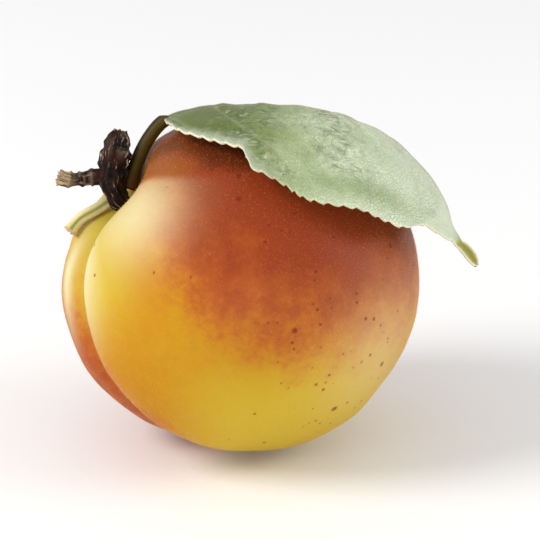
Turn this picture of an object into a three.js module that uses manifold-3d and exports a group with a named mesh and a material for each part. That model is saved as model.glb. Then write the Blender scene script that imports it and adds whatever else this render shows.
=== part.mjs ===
// A ripe apricot as picked: the fruit with its woody spur stub, the leaf that grows beside the spur and
// lies over the fruit's shoulder, and the short stump of a second leaf stalk. Millimetres, +Z up. The
// fruit rests on a small flat spot, and the origin is the middle of that spot.

import * as THREE from "three";
import { mergeVertices } from "three/addons/utils/BufferGeometryUtils.js";
import Module from "manifold-3d";

const wasm = await Module();
wasm.setup();

// ---------- Driving dimensions ----------

// The construction frame is centred in the fruit: X right, Y up along the leaning fruit, Z to the
// front. It leans back from the vertical by this angle, and every list of places below is in it.
const LEAN_DEG = 22;

// Fruit: half-sizes toward the stem end, the tip, the suture and the cheeks.
const STEM_RADIUS = 23.2;
const TIP_RADIUS = 23.1;
const SUTURE_RADIUS = 22.95;
const CHEEK_RADIUS = 22.3;
// The quarters beside the stem end and the tip swell or sink by this much, so the outline leans.
const LEAN_SWELL_STEM = 1.9;
const LEAN_SWELL_TIP = 1.2;

// Where the stem end points: angle from X in the front plane, and turn toward the front.
const STEM_ANGLE_DEG = 145;
const STEM_TURN_DEG = 14;
// How far the suture is rolled from the left edge of the fruit toward the front, and how much it bends
// round from there: to the front near the stem, to the back near the tip.
const SUTURE_ROLL_DEG = 8;
const SUTURE_BEND_DEG = 9;

// Stem cavity, and the dimple at the tip.
const CAVITY_DEPTH = 5.6;
const CAVITY_WIDTH = 7.0;
const TIP_DIMPLE_DEPTH = 0.3;
const TIP_DIMPLE_WIDTH = 2.5;

// Suture groove: its depth beside the cavity, half way and at the tip, and its rounded V section.
const GROOVE_DEPTH_STEM = 3.4;
const GROOVE_DEPTH_MIDDLE = 2.2;
const GROOVE_DEPTH_TIP = 0.8;
const GROOVE_WIDTH = 2.4;
const GROOVE_ROUNDING = 0.8;
// The front half swells a little more beside the groove than the back half does.
const FRONT_LOBE_SWELL = 0.6;
const BACK_LOBE_SWELL = 0.2;
const LOBE_OFFSET = 6.5;
const LOBE_WIDTH = 4.0;

// Knob of the back half's shoulder, below the stalk stump.
const KNOB_PLACE = [-20.6, 7.0, 1.2];
const KNOB_HEIGHT = 0.9;
const KNOB_RADIUS = 2.6;

// How deep the skin is pressed flat where the fruit rests.
const SPOT_DEPTH = 0.55;

// Woody spur: foot over the cavity floor, elbow, then up to its broken top.
const SPUR_COURSE = [[-14.85, 9.65, 4.6], [-16.2, 11.1, 5.0], [-16.9, 13.2, 4.9], [-16.7, 16.4, 4.3],
  [-16.0, 19.8, 3.5]];
const SPUR_FOOT_RADIUS = 1.05;
const SPUR_TOP_RADIUS = 1.75;
const SPUR_TOP_TAPER = 0.16;
const SPUR_SCARS = 7;
// Ringed side stub of the spur.
const SIDE_STUB_COURSE = [[-16.8, 13.6, 4.4], [-19.6, 13.7, 4.6], [-22.0, 13.3, 4.9], [-24.0, 13.7, 5.1]];
const SIDE_STUB_RADIUS = 1.0;
const SIDE_STUB_SCARS = 4;

// Stump of a second leaf stalk: directions in which it lies on the back half's shoulder.
const STUMP_COURSE = [[-17.6, 11.4, 2.0], [-19.4, 9.8, 1.9], [-20.8, 8.0, 2.1], [-21.9, 6.3, 2.4]];
const STUMP_RADIUS = 0.85;

// Leaf stalk and midrib in one line, and the shares of it where the blade starts and narrows to its tip.
const MIDRIB_COURSE = [[-14.7, 12.3, 3.5], [-13.5, 15.5, 3.6], [-12.0, 18.7, 3.7], [-10.3, 21.0, 3.8],
  [-7.9, 22.0, 4.5], [-3.8, 22.7, 5.9], [3.8, 22.9, 7.6], [10.2, 22.3, 8.4], [15.9, 20.4, 8.6],
  [20.0, 18.2, 8.2], [23.2, 15.2, 7.2], [25.9, 11.6, 6.0], [28.0, 6.4, 4.8], [31.0, 2.0, 3.6]];
const BLADE_START = 0.17;
const BLADE_END = 0.925;
const STALK_RADIUS = 1.0;
const RIB_END_RADIUS = 0.35;

// Blade: outline, thickness, and the turn of its upper side away from the front.
const BLADE_HALF_WIDTH = 17.6;
const BLADE_TIP_HALF_WIDTH = 0.95;
const BLADE_PEAK = 0.5;
const BLADE_BASE_POWER = 0.72;
const BLADE_TIP_POWER = 0.7;
const BLADE_THICKNESS = 0.6;
const BLADE_ROLL_DEG = 18;
// Slope of each half beside the midrib, and how fast it steepens outward.
const FRONT_KEEL_DEG = 18;
const FRONT_CURL_DEG_PER_MM = 2.5;
const BACK_KEEL_DEG = 5;
const BACK_CURL_DEG_PER_MM = 1.6;
// Narrow tip: where the blade twists into it, its turn toward the front and the rise of both its halves.
const TWIST_START = 0.9;
const TWIST_END = 0.945;
const TIP_ROLL_DEG = -50;
const TIP_KEEL_DEG = -24;
const TIP_SLIMMING = 0.2;
// Straight run of the front margin into the tip: where it starts and ends, and the width it starts from.
const RUN_START = 0.87;
const RUN_END = 0.935;
const RUN_WIDTH = 5.0;
// Narrowing of the back half where it turns into the tip: its middle, its reach and its share.
const PINCH_PLACE = 0.915;
const PINCH_REACH = 0.026;
const PINCH_SHARE = 0.8;
// Rounded forward-leaning teeth of both margins, closer together near the stalk.
const TEETH = 28;
const TOOTH_CROWDING = 0.25;
const TOOTH_DEPTH = 0.34;
const TOOTH_POINT = 0.75;
// The one bite in the front margin: its steep side, how far back it reaches, and its depth.
const BITE_PLACE = 0.25;
const BITE_REACH = 0.22;
const BITE_STEEPNESS = 0.035;
const BITE_DEPTH = 2.7;
// Slow waves of both margins.
const WAVES = 3.5;
const WAVE_HEIGHT = 0.45;

// Gap kept between pieces that touch.
const GAP = 0.3;

// ---------- Mesh densities ----------

const FRUIT_MERIDIANS = 64;
const FRUIT_PARALLELS = 38;
const POLE_CROWDING = 0.1;
const GROOVE_CROWDING = 0.6;
const STATIONS_PER_TOOTH = 4;
const BLADE_COLUMNS = 5;

// ---------- Helpers ----------

const radians = THREE.MathUtils.degToRad;
const smoothstep = THREE.MathUtils.smoothstep;
const lerp = THREE.MathUtils.lerp;

/** A smooth curve through hand-set places. */
function curveThrough(places) {
  const points = places.map((place) => new THREE.Vector3(...place));
  return new THREE.CatmullRomCurve3(points, false, "centripetal");
}

/** A bell that is 1 at distance 0. */
function bell(distance, width) {
  return Math.exp(-((distance / width) ** 2));
}

/** A geometry from a flat list of coordinates and a list of corner numbers. */
function geometryFrom(coordinates, corners) {
  const geometry = new THREE.BufferGeometry();
  geometry.setAttribute("position", new THREE.Float32BufferAttribute(coordinates, 3));
  geometry.setIndex(corners);
  geometry.computeVertexNormals();
  return geometry;
}

/** A closed geometry as a solid that can be joined and cut. */
function solidOf(geometry) {
  const bare = geometry.clone();
  bare.deleteAttribute("normal");
  bare.deleteAttribute("uv");
  const merged = mergeVertices(bare, 1e-5);
  return new wasm.Manifold(new wasm.Mesh({
    numProp: 3,
    vertProperties: new Float32Array(merged.attributes.position.array),
    triVerts: new Uint32Array(merged.index.array),
  }));
}

/** A joined or cut solid back as a geometry. */
function geometryOf(solid) {
  const mesh = solid.getMesh();
  return geometryFrom(Array.from(mesh.vertProperties), Array.from(mesh.triVerts));
}

/** A closed loft of rings along a curve; radiusAt gives the radius at a share along it and an angle. */
function loft(curve, rings, sides, radiusAt) {
  const frames = curve.computeFrenetFrames(rings, false);
  const coordinates = [];
  const corners = [];
  for (let ring = 0; ring <= rings; ring += 1) {
    const along = ring / rings;
    const centre = curve.getPointAt(along);
    for (let side = 0; side < sides; side += 1) {
      const angle = (side / sides) * 2 * Math.PI;
      const radius = radiusAt(along, angle);
      const point = centre.clone()
        .addScaledVector(frames.normals[ring], Math.cos(angle) * radius)
        .addScaledVector(frames.binormals[ring], Math.sin(angle) * radius);
      coordinates.push(...point.toArray());
    }
  }
  const startCap = coordinates.length / 3;
  const endCap = startCap + 1;
  coordinates.push(...curve.getPointAt(0).toArray(), ...curve.getPointAt(1).toArray());
  const lastRing = rings * sides;
  for (let side = 0; side < sides; side += 1) {
    const next = (side + 1) % sides;
    for (let ring = 0; ring < lastRing; ring += sides) {
      corners.push(ring + side, ring + next, ring + sides + next);
      corners.push(ring + side, ring + sides + next, ring + sides + side);
    }
    corners.push(startCap, next, side);
    corners.push(endCap, lastRing + side, lastRing + next);
  }
  return geometryFrom(coordinates, corners);
}

// ---------- Fruit ----------

const STEM_AXIS = new THREE.Vector3(
  Math.cos(radians(STEM_ANGLE_DEG)) * Math.cos(radians(STEM_TURN_DEG)),
  Math.sin(radians(STEM_ANGLE_DEG)) * Math.cos(radians(STEM_TURN_DEG)),
  Math.sin(radians(STEM_TURN_DEG)),
);
const SUTURE_AXIS = new THREE.Vector3(0, 0, 1)
  .cross(STEM_AXIS)
  .normalize()
  .applyAxisAngle(STEM_AXIS, radians(SUTURE_ROLL_DEG));
const CHEEK_AXIS = new THREE.Vector3().crossVectors(STEM_AXIS, SUTURE_AXIS);
const KNOB_DIRECTION = new THREE.Vector3(...KNOB_PLACE).normalize();

/** Distance from the fruit's centre to its skin in a direction given as a unit vector. */
function skinRadius(direction) {
  const lengthwise = direction.dot(STEM_AXIS);
  const towardStem = lengthwise / (lengthwise > 0 ? STEM_RADIUS : TIP_RADIUS);
  const towardSuture = direction.dot(SUTURE_AXIS) / SUTURE_RADIUS;
  const towardCheek = direction.dot(CHEEK_AXIS) / CHEEK_RADIUS;
  const base = 1 / Math.hypot(towardStem, towardSuture, towardCheek);
  const stemShare = towardStem * base;
  const bend = radians(SUTURE_BEND_DEG) * stemShare;
  const sutureShare = base * (towardSuture * Math.cos(bend) + towardCheek * Math.sin(bend));
  const cheekShare = base * (towardCheek * Math.cos(bend) - towardSuture * Math.sin(bend));
  const across = CHEEK_RADIUS * cheekShare;
  const fromStemAxis = Math.hypot(SUTURE_RADIUS * sutureShare, across);

  const leanSwell = lerp(LEAN_SWELL_TIP, LEAN_SWELL_STEM, smoothstep(stemShare, -0.5, 0.5));
  const lean = leanSwell * sutureShare * stemShare;
  const onSutureSide = smoothstep(sutureShare, 0.0, 0.3);
  const grooveEnd = stemShare > 0 ? GROOVE_DEPTH_STEM : GROOVE_DEPTH_TIP;
  const grooveDepth = lerp(GROOVE_DEPTH_MIDDLE, grooveEnd, stemShare ** 2);
  const section = Math.exp((GROOVE_ROUNDING - Math.hypot(across, GROOVE_ROUNDING)) / GROOVE_WIDTH);
  const swell = across > 0 ? FRONT_LOBE_SWELL : BACK_LOBE_SWELL;
  const lobe = swell * bell(Math.abs(across) - LOBE_OFFSET, LOBE_WIDTH);
  const hollow = stemShare > 0
    ? CAVITY_DEPTH * bell(fromStemAxis, CAVITY_WIDTH)
    : TIP_DIMPLE_DEPTH * bell(fromStemAxis, TIP_DIMPLE_WIDTH);
  const fromKnob = STEM_RADIUS * direction.distanceTo(KNOB_DIRECTION);
  const knob = KNOB_HEIGHT * bell(fromKnob, KNOB_RADIUS);
  return base + lean + onSutureSide * (lobe - grooveDepth * section) - hollow + knob;
}

/** The skin's point at an angle from the stem axis and an angle round it from the suture. */
function skinPoint(polar, around) {
  const turned = around + radians(SUTURE_BEND_DEG) * Math.cos(polar);
  const halfLength = Math.cos(polar) > 0 ? STEM_RADIUS : TIP_RADIUS;
  const direction = new THREE.Vector3()
    .addScaledVector(STEM_AXIS, halfLength * Math.cos(polar))
    .addScaledVector(SUTURE_AXIS, SUTURE_RADIUS * Math.sin(polar) * Math.cos(turned))
    .addScaledVector(CHEEK_AXIS, CHEEK_RADIUS * Math.sin(polar) * Math.sin(turned))
    .normalize();
  return direction.multiplyScalar(skinRadius(direction));
}

/** Moves a point out along its radius, softly, until it clears the skin by the given height. */
function liftOffSkin(point, clearance) {
  const softness = 0.4;
  const direction = point.clone().normalize();
  const limit = skinRadius(direction) + clearance;
  const over = (point.length() - limit) / softness;
  return direction.multiplyScalar(limit + softness * Math.log1p(Math.exp(over)));
}

/** The whole fruit before it is pressed flat: meridians crowd at the groove, parallels at the ends. */
function fruitGeometry() {
  const coordinates = [];
  const corners = [];
  for (let row = 1; row < FRUIT_PARALLELS; row += 1) {
    const share = row / FRUIT_PARALLELS;
    const polar = Math.PI * (share - POLE_CROWDING * Math.sin(2 * Math.PI * share));
    for (let column = 0; column < FRUIT_MERIDIANS; column += 1) {
      const turn = (column / FRUIT_MERIDIANS) * 2 * Math.PI;
      const around = turn - GROOVE_CROWDING * Math.sin(turn);
      coordinates.push(...skinPoint(polar, around).toArray());
    }
  }
  const stemEnd = coordinates.length / 3;
  const tip = stemEnd + 1;
  coordinates.push(...skinPoint(0, 0).toArray(), ...skinPoint(Math.PI, 0).toArray());
  const lastRow = (FRUIT_PARALLELS - 2) * FRUIT_MERIDIANS;
  for (let column = 0; column < FRUIT_MERIDIANS; column += 1) {
    const next = (column + 1) % FRUIT_MERIDIANS;
    for (let row = 0; row < lastRow; row += FRUIT_MERIDIANS) {
      const below = row + FRUIT_MERIDIANS;
      corners.push(row + column, below + column, below + next);
      corners.push(row + column, below + next, row + next);
    }
    corners.push(stemEnd, column, next);
    corners.push(tip, lastRow + next, lastRow + column);
  }
  return geometryFrom(coordinates, corners);
}

/** Middle of the faces that lie in the plane Z = 0. */
function spotCentre(geometry) {
  const place = geometry.attributes.position;
  const corners = geometry.index;
  const centre = new THREE.Vector3();
  const face = new THREE.Triangle();
  let area = 0;
  for (let corner = 0; corner < corners.count; corner += 3) {
    face.setFromAttributeAndIndices(
      place,
      corners.getX(corner),
      corners.getX(corner + 1),
      corners.getX(corner + 2),
    );
    if (Math.max(face.a.z, face.b.z, face.c.z) < 1e-4) {
      area += face.getArea();
      centre.addScaledVector(face.getMidpoint(new THREE.Vector3()), face.getArea());
    }
  }
  return centre.divideScalar(area);
}

// ---------- Woody spur ----------

/** Bark of the spur: a taper with lengthwise ridges, ring scars and one knob. */
function spurRadius(along, angle) {
  const swelling = lerp(SPUR_FOOT_RADIUS, SPUR_TOP_RADIUS, smoothstep(along, 0.0, 0.45));
  const taper = swelling * (1 - SPUR_TOP_TAPER * smoothstep(along, 0.7, 1.0));
  const ridges = 0.07 * Math.cos(5 * angle + 3 * along) + 0.04 * Math.cos(9 * angle - 7 * along);
  const scars = 0.12 * Math.cos(Math.PI * SPUR_SCARS * along) ** 4;
  const knob = 0.3 * bell(along - 0.62, 0.06) * bell(Math.sin((angle - 1.0) / 2), 0.5);
  return taper * (1 + ridges + scars + knob);
}

function sideStubRadius(along, angle) {
  const scars = 0.22 * Math.cos(Math.PI * SIDE_STUB_SCARS * along) ** 6;
  const ridges = 0.06 * Math.cos(4 * angle);
  return SIDE_STUB_RADIUS * (1 - 0.25 * along + scars + ridges);
}

/** The spur with its side stub, every surface moved outward by the given swell. */
function spurSolid(swell) {
  const spur = loft(curveThrough(SPUR_COURSE), 36, 14, (along, angle) => spurRadius(along, angle) + swell);
  const stub = loft(curveThrough(SIDE_STUB_COURSE), 20, 10, (along, angle) => {
    return sideStubRadius(along, angle) + swell;
  });
  return solidOf(spur).add(solidOf(stub));
}

// ---------- Stalk stump ----------

/** A short stalk laid along the skin, with a channel down one side and a flared cut end. */
function stumpGeometry() {
  const lying = STUMP_COURSE.map((place) => {
    const direction = new THREE.Vector3(...place).normalize();
    return direction.multiplyScalar(skinRadius(direction) + STUMP_RADIUS + 2 * GAP).toArray();
  });
  const radiusAt = (along, angle) => {
    const channel = 0.25 * bell(Math.sin(angle / 2), 0.35);
    const flare = 0.12 * smoothstep(along, 0.8, 1.0);
    return STUMP_RADIUS * (0.9 - channel + flare);
  };
  return loft(curveThrough(lying), 12, 12, radiusAt);
}

// ---------- Leaf ----------

const MIDRIB = curveThrough(MIDRIB_COURSE.map((place) => {
  return liftOffSkin(new THREE.Vector3(...place), STALK_RADIUS + GAP).toArray();
}));

/** How far the blade has twisted into its tip: 0 on the broad blade, 1 on the tip. */
function twist(length) {
  return smoothstep(length, TWIST_START, TWIST_END);
}

/** Centre, up and side directions at a share of the way along the stalk and midrib. */
function midribFrame(along) {
  const centre = MIDRIB.getPointAt(along);
  const tangent = MIDRIB.getTangentAt(along);
  const up = centre.clone().normalize();
  up.addScaledVector(tangent, -up.dot(tangent)).normalize();
  const roll = lerp(BLADE_ROLL_DEG, TIP_ROLL_DEG, twist((along - BLADE_START) / (1 - BLADE_START)));
  up.applyAxisAngle(tangent, -radians(roll));
  const side = new THREE.Vector3().crossVectors(tangent, up);
  return { centre, up, side };
}

/** Half-width of the blade without its teeth; length runs from 0 at its base to 1 at the end. */
function halfWidth(length) {
  const broad = Math.min(1, (length * (1 - BLADE_START)) / (BLADE_END - BLADE_START));
  const rising = (broad / BLADE_PEAK) ** BLADE_BASE_POWER;
  const falling = ((1 - broad) / (1 - BLADE_PEAK)) ** BLADE_TIP_POWER;
  const slimming = TIP_SLIMMING * smoothstep(length, RUN_END, 1);
  return lerp(BLADE_TIP_HALF_WIDTH, BLADE_HALF_WIDTH, rising * falling) - slimming;
}

/** How far a tooth stands out: 0 in the notches and the full depth at its point, less on a narrow blade. */
function tooth(length) {
  const phase = (TEETH * length * (1 + TOOTH_CROWDING * (1 - length))) % 1;
  const rising = Math.sin((phase / TOOTH_POINT) * (Math.PI / 2));
  const falling = (1 - phase) / (1 - TOOTH_POINT);
  const size = Math.min(1, (3 * halfWidth(length)) / BLADE_HALF_WIDTH);
  return TOOTH_DEPTH * size * (phase < TOOTH_POINT ? rising : falling);
}

/** The place along the blade where the given number of teeth has passed. */
function lengthAtTooth(count) {
  const reach = 1 + TOOTH_CROWDING;
  return (reach - Math.sqrt(reach ** 2 - (4 * TOOTH_CROWDING * count) / TEETH)) / (2 * TOOTH_CROWDING);
}

/** How far the front margin is eaten back by its one bite. */
function bite(length) {
  const rising = smoothstep(length, BITE_PLACE - BITE_REACH, BITE_PLACE);
  const falling = 1 - smoothstep(length, BITE_PLACE, BITE_PLACE + BITE_STEEPNESS);
  return BITE_DEPTH * rising * falling;
}

/** Distance from the midrib to the toothed margin of the front half or the back half. */
function reachTo(length, toFront) {
  const margin = halfWidth(length) + tooth(length);
  if (!toFront) {
    return margin * (1 - PINCH_SHARE * bell(length - PINCH_PLACE, PINCH_REACH));
  }
  const towardTip = (RUN_END - length) / (RUN_END - RUN_START);
  const onRun = towardTip > 0 && towardTip < 1;
  const run = onRun ? lerp(BLADE_TIP_HALF_WIDTH, RUN_WIDTH, towardTip) : 0;
  return Math.max(margin - bite(length), run);
}

/** A point of the blade's middle sheet; offset runs across it, positive to the front. */
function bladePoint(length, offset) {
  const frame = midribFrame(BLADE_START + (1 - BLADE_START) * length);
  const keel = radians(lerp(offset > 0 ? FRONT_KEEL_DEG : BACK_KEEL_DEG, TIP_KEEL_DEG, twist(length)));
  const curl = radians(offset > 0 ? FRONT_CURL_DEG_PER_MM : BACK_CURL_DEG_PER_MM);
  const reach = Math.abs(offset);
  const sideways = (Math.sin(keel + curl * reach) - Math.sin(keel)) / curl;
  const drop = (Math.cos(keel) - Math.cos(keel + curl * reach)) / curl;
  const phase = 2 * Math.PI * WAVES * length + Math.sign(offset);
  const wave = WAVE_HEIGHT * Math.sin(phase) * (reach / BLADE_HALF_WIDTH) ** 2;
  const point = frame.centre
    .addScaledVector(frame.side, Math.sign(offset) * sideways)
    .addScaledVector(frame.up, wave - drop);
  return liftOffSkin(point, BLADE_THICKNESS / 2 + 2 * GAP);
}

/** The middle sheet's upward normal, from points a small step away. */
function bladeNormal(length, offset) {
  const lengthStep = 0.004;
  const offsetStep = 0.2;
  const before = bladePoint(Math.max(0, length - lengthStep), offset);
  const after = bladePoint(Math.min(1, length + lengthStep), offset);
  const front = bladePoint(length, offset + offsetStep);
  const back = bladePoint(length, offset - offsetStep);
  return front.sub(back).cross(after.sub(before)).normalize();
}

/** The blade as one thin closed sheet, split into triangles alike on both faces. */
function bladeGeometry() {
  const stations = TEETH * STATIONS_PER_TOOTH;
  const columns = 2 * BLADE_COLUMNS + 1;
  const coordinates = [];
  const corners = [];
  for (const face of [1, -1]) {
    for (let station = 0; station <= stations; station += 1) {
      const length = lengthAtTooth(station / STATIONS_PER_TOOTH);
      for (let column = -BLADE_COLUMNS; column <= BLADE_COLUMNS; column += 1) {
        const offset = reachTo(length, column > 0) * (column / BLADE_COLUMNS);
        const point = bladePoint(length, offset);
        point.addScaledVector(bladeNormal(length, offset), face * BLADE_THICKNESS / 2);
        coordinates.push(...point.toArray());
      }
    }
  }
  const under = (stations + 1) * columns;
  const quad = (a, b, c, d) => corners.push(a, b, c, a, c, d);
  for (let station = 0; station < stations; station += 1) {
    const left = station * columns;
    const right = left + columns - 1;
    for (let here = left; here < right; here += 1) {
      const beyond = here + columns;
      quad(here, here + 1, beyond + 1, beyond);
      corners.push(under + here, under + beyond + 1, under + here + 1);
      corners.push(under + here, under + beyond, under + beyond + 1);
    }
    quad(left, left + columns, under + left + columns, under + left);
    quad(right, under + right, under + right + columns, right + columns);
  }
  for (let column = 0; column < columns - 1; column += 1) {
    const last = stations * columns + column;
    quad(column, under + column, under + column + 1, column + 1);
    quad(last, last + 1, under + last + 1, under + last);
  }
  return geometryFrom(coordinates, corners);
}

/** Round stalk that runs on as the rib inside and under the blade. */
function ribGeometry() {
  return loft(MIDRIB, 44, 6, (along) => {
    return lerp(STALK_RADIUS, RIB_END_RADIUS, smoothstep(along, BLADE_START, 0.9));
  });
}

// ---------- Assembly ----------

function namedMesh(name, geometry, color, roughness) {
  const mesh = new THREE.Mesh(geometry, new THREE.MeshStandardMaterial({ color, roughness, metalness: 0 }));
  mesh.name = name;
  return mesh;
}

const wholeFruit = fruitGeometry().rotateX(radians(90 - LEAN_DEG));
wholeFruit.computeBoundingBox();
const centreHeight = -wholeFruit.boundingBox.min.z - SPOT_DEPTH;
wholeFruit.translate(0, 0, centreHeight);
const surface = new THREE.BoxGeometry(80, 80, 20).translate(0, 0, -10);
const restingFruit = geometryOf(solidOf(wholeFruit).subtract(solidOf(surface)));
const spot = spotCentre(restingFruit);
restingFruit.translate(-spot.x, -spot.y, 0);

const leafSolid = solidOf(bladeGeometry()).add(solidOf(ribGeometry())).subtract(spurSolid(GAP));

const leaning = new THREE.Group();
leaning.rotation.x = radians(90 - LEAN_DEG);
leaning.position.set(-spot.x, -spot.y, centreHeight);
leaning.add(
  namedMesh("spur", geometryOf(spurSolid(0)), 0x35231a, 0.85),
  namedMesh("leaf", geometryOf(leafSolid), 0x9db37c, 0.55),
  namedMesh("stalk_stump", stumpGeometry(), 0xe0c987, 0.6),
);

const apricot = new THREE.Group();
apricot.add(namedMesh("fruit", restingFruit, 0xd98b3a, 0.6), leaning);

export default apricot;
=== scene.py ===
"""A ripe apricot with its leaf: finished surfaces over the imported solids.

The fruit, the woody spur, the leaf and the stalk stump are rebuilt as fine meshes from the same named
sizes as the solids, so they stand where the solids stand, and they get the relief and the procedural
finishes that the plain solids leave out. Sizes are in millimetres until a mesh is made, in metres.
"""

from __future__ import annotations

import logging
import math
from dataclasses import dataclass
from enum import Enum
from functools import cached_property

import bpy
import numpy as np
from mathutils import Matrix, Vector
from mathutils.kdtree import KDTree

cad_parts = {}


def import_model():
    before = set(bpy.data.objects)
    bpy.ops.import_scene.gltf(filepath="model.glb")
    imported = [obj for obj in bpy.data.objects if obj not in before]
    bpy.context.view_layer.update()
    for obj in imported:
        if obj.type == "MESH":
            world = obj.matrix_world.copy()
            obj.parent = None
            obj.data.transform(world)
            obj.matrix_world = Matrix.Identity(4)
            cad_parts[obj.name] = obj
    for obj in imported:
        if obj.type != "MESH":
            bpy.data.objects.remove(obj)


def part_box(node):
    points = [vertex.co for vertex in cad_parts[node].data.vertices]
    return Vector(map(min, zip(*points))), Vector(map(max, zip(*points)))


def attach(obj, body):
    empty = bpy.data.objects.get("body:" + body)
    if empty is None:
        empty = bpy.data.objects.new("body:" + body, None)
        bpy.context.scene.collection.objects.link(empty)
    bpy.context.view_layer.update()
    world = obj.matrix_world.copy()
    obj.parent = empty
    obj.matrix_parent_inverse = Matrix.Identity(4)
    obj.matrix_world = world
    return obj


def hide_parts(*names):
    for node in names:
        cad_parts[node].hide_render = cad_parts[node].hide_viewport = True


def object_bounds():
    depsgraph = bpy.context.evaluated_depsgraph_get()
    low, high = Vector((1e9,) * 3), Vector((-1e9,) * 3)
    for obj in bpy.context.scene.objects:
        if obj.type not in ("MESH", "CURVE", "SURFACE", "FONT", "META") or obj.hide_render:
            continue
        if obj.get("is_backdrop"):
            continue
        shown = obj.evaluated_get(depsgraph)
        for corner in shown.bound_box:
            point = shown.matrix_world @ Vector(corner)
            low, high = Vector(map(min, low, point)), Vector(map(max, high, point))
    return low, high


LOG = logging.getLogger("apricot")
MILLIMETRE = 0.001
PLAN_SCALE = 0.01  # UV units a millimetre
VIEW_TILT = math.radians(22.0)  # lean of the construction frame, and how far the camera looks down

Array = np.ndarray
Place = tuple[float, float, float]
Colour = tuple[float, ...]


class Slot(Enum):
    """Material slots of the record; one is passed with each finished piece."""

    SKIN = "skin"
    BARK = "bark"
    LEAF = "leaf"
    STALK = "stalk"


# ---- Arithmetic on arrays ----


def smoothstep(value: Array, low: float, high: float) -> Array:
    """Rises smoothly from 0 at low to 1 at high.

    Args:
        value: Numbers to map.
        low: Where the rise starts.
        high: Where it ends.

    Returns:
        Numbers from 0 to 1.
    """
    share = np.clip((value - low) / (high - low), 0.0, 1.0)
    return share * share * (3.0 - 2.0 * share)


def fall(value: Array, low: float, high: float) -> Array:
    """Falls smoothly from 1 at low to 0 at high."""
    return 1.0 - smoothstep(value, low, high)


def bell(distance: Array, width: float) -> Array:
    """A bell that is 1 at distance 0 and falls off over width."""
    return np.exp(-((distance / width) ** 2))


def blend(start: Array | float, end: Array | float, share: Array | float) -> Array:
    """Start where share is 0, end where it is 1."""
    return start + (end - start) * share


def unit(vectors: Array) -> Array:
    """Vectors of length 1 along the last axis."""
    return vectors / np.linalg.norm(vectors, axis=-1, keepdims=True)


def ripple(points: Array, wavelength: float, seed: int, waves: int = 20) -> Array:
    """A smooth random field made of plane waves.

    Args:
        points: Places, one row each, in millimetres.
        wavelength: Typical distance from crest to crest.
        seed: Seed of the waves' directions and phases.
        waves: How many waves are summed.

    Returns:
        One number a point, mostly between -1 and 1.
    """
    random = np.random.default_rng(seed)
    directions = unit(random.normal(size=(waves, 3)))
    lengths = wavelength * random.uniform(0.75, 1.35, size=waves)
    phases = random.uniform(0.0, 2.0 * math.pi, size=waves)
    turns = points @ (directions / lengths[:, None]).T * 2.0 * math.pi + phases
    return np.cos(turns).sum(axis=-1) * math.sqrt(2.0 / waves) * 0.6


def turn_about(vectors: Array, axes: Array, angle: Array | float) -> Array:
    """Turns vectors about unit axes by the right-hand rule.

    Args:
        vectors: Vectors, one row each.
        axes: Unit axes, one row each or a single one.
        angle: Angle in radians.

    Returns:
        The turned vectors.
    """
    along = np.sum(vectors * axes, axis=-1, keepdims=True) * axes
    turned = np.asarray(angle)[..., None]
    return along + (vectors - along) * np.cos(turned) + np.cross(axes, vectors) * np.sin(turned)


@dataclass(frozen=True)
class Course:
    """A smooth centripetal curve through given places, measured by its length."""

    places: tuple[Place, ...]
    divisions: int = 60

    @cached_property
    def dense(self) -> Array:
        """Closely spaced points of the whole curve.

        Returns:
            Points, one row each.
        """
        given = np.array(self.places)
        first = 2.0 * given[0] - given[1]
        last = 2.0 * given[-1] - given[-2]
        points = np.vstack([first, given, last])
        pieces = []
        for index in range(len(given) - 1):
            corner = points[index:index + 4]
            gaps = np.sqrt(np.linalg.norm(np.diff(corner, axis=0), axis=1))
            knots = np.concatenate([[0.0], np.cumsum(gaps)])
            share = np.linspace(0.0, 1.0, self.divisions, endpoint=False)[:, None]
            moment = knots[1] + (knots[2] - knots[1]) * share
            pieces.append(self._spline(corner, knots, moment))
        return np.vstack([*pieces, given[-1:]])

    @staticmethod
    def _spline(corner: Array, knots: Array, moment: Array) -> Array:
        """Points between the second and third of four places.

        Args:
            corner: The four places.
            knots: Their knots.
            moment: Knot values to evaluate.

        Returns:
            One row for each knot value.
        """
        level = [corner[index] for index in range(4)]
        for step in range(1, 4):
            for index in range(4 - step):
                start = knots[index]
                end = knots[index + step]
                if step == 3:
                    start, end = knots[1], knots[2]
                share = (moment - start) / (end - start)
                level[index] = (1.0 - share) * level[index] + share * level[index + 1]
        return level[0]

    @cached_property
    def lengths(self) -> Array:
        """Distance along the curve of each dense point."""
        steps = np.linalg.norm(np.diff(self.dense, axis=0), axis=1)
        return np.concatenate([[0.0], np.cumsum(steps)])

    @property
    def length(self) -> float:
        """Whole length of the curve."""
        return float(self.lengths[-1])

    def at(self, share: Array) -> Array:
        """Points at shares of the whole length, one row each."""
        wanted = np.clip(share, 0.0, 1.0) * self.length
        return np.stack([np.interp(wanted, self.lengths, self.dense[:, k]) for k in range(3)], axis=-1)

    def tangent(self, share: Array) -> Array:
        """Unit directions along the curve at shares of its length, one row each.

        Args:
            share: Shares of the whole length.

        Returns:
            One unit vector a share.
        """
        step = 0.004
        after = np.clip(share + step, 0.0, 1.0)
        before = np.clip(share - step, 0.0, 1.0)
        return unit(self.at(after) - self.at(before))


# ---- The fruit's form ----


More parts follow.
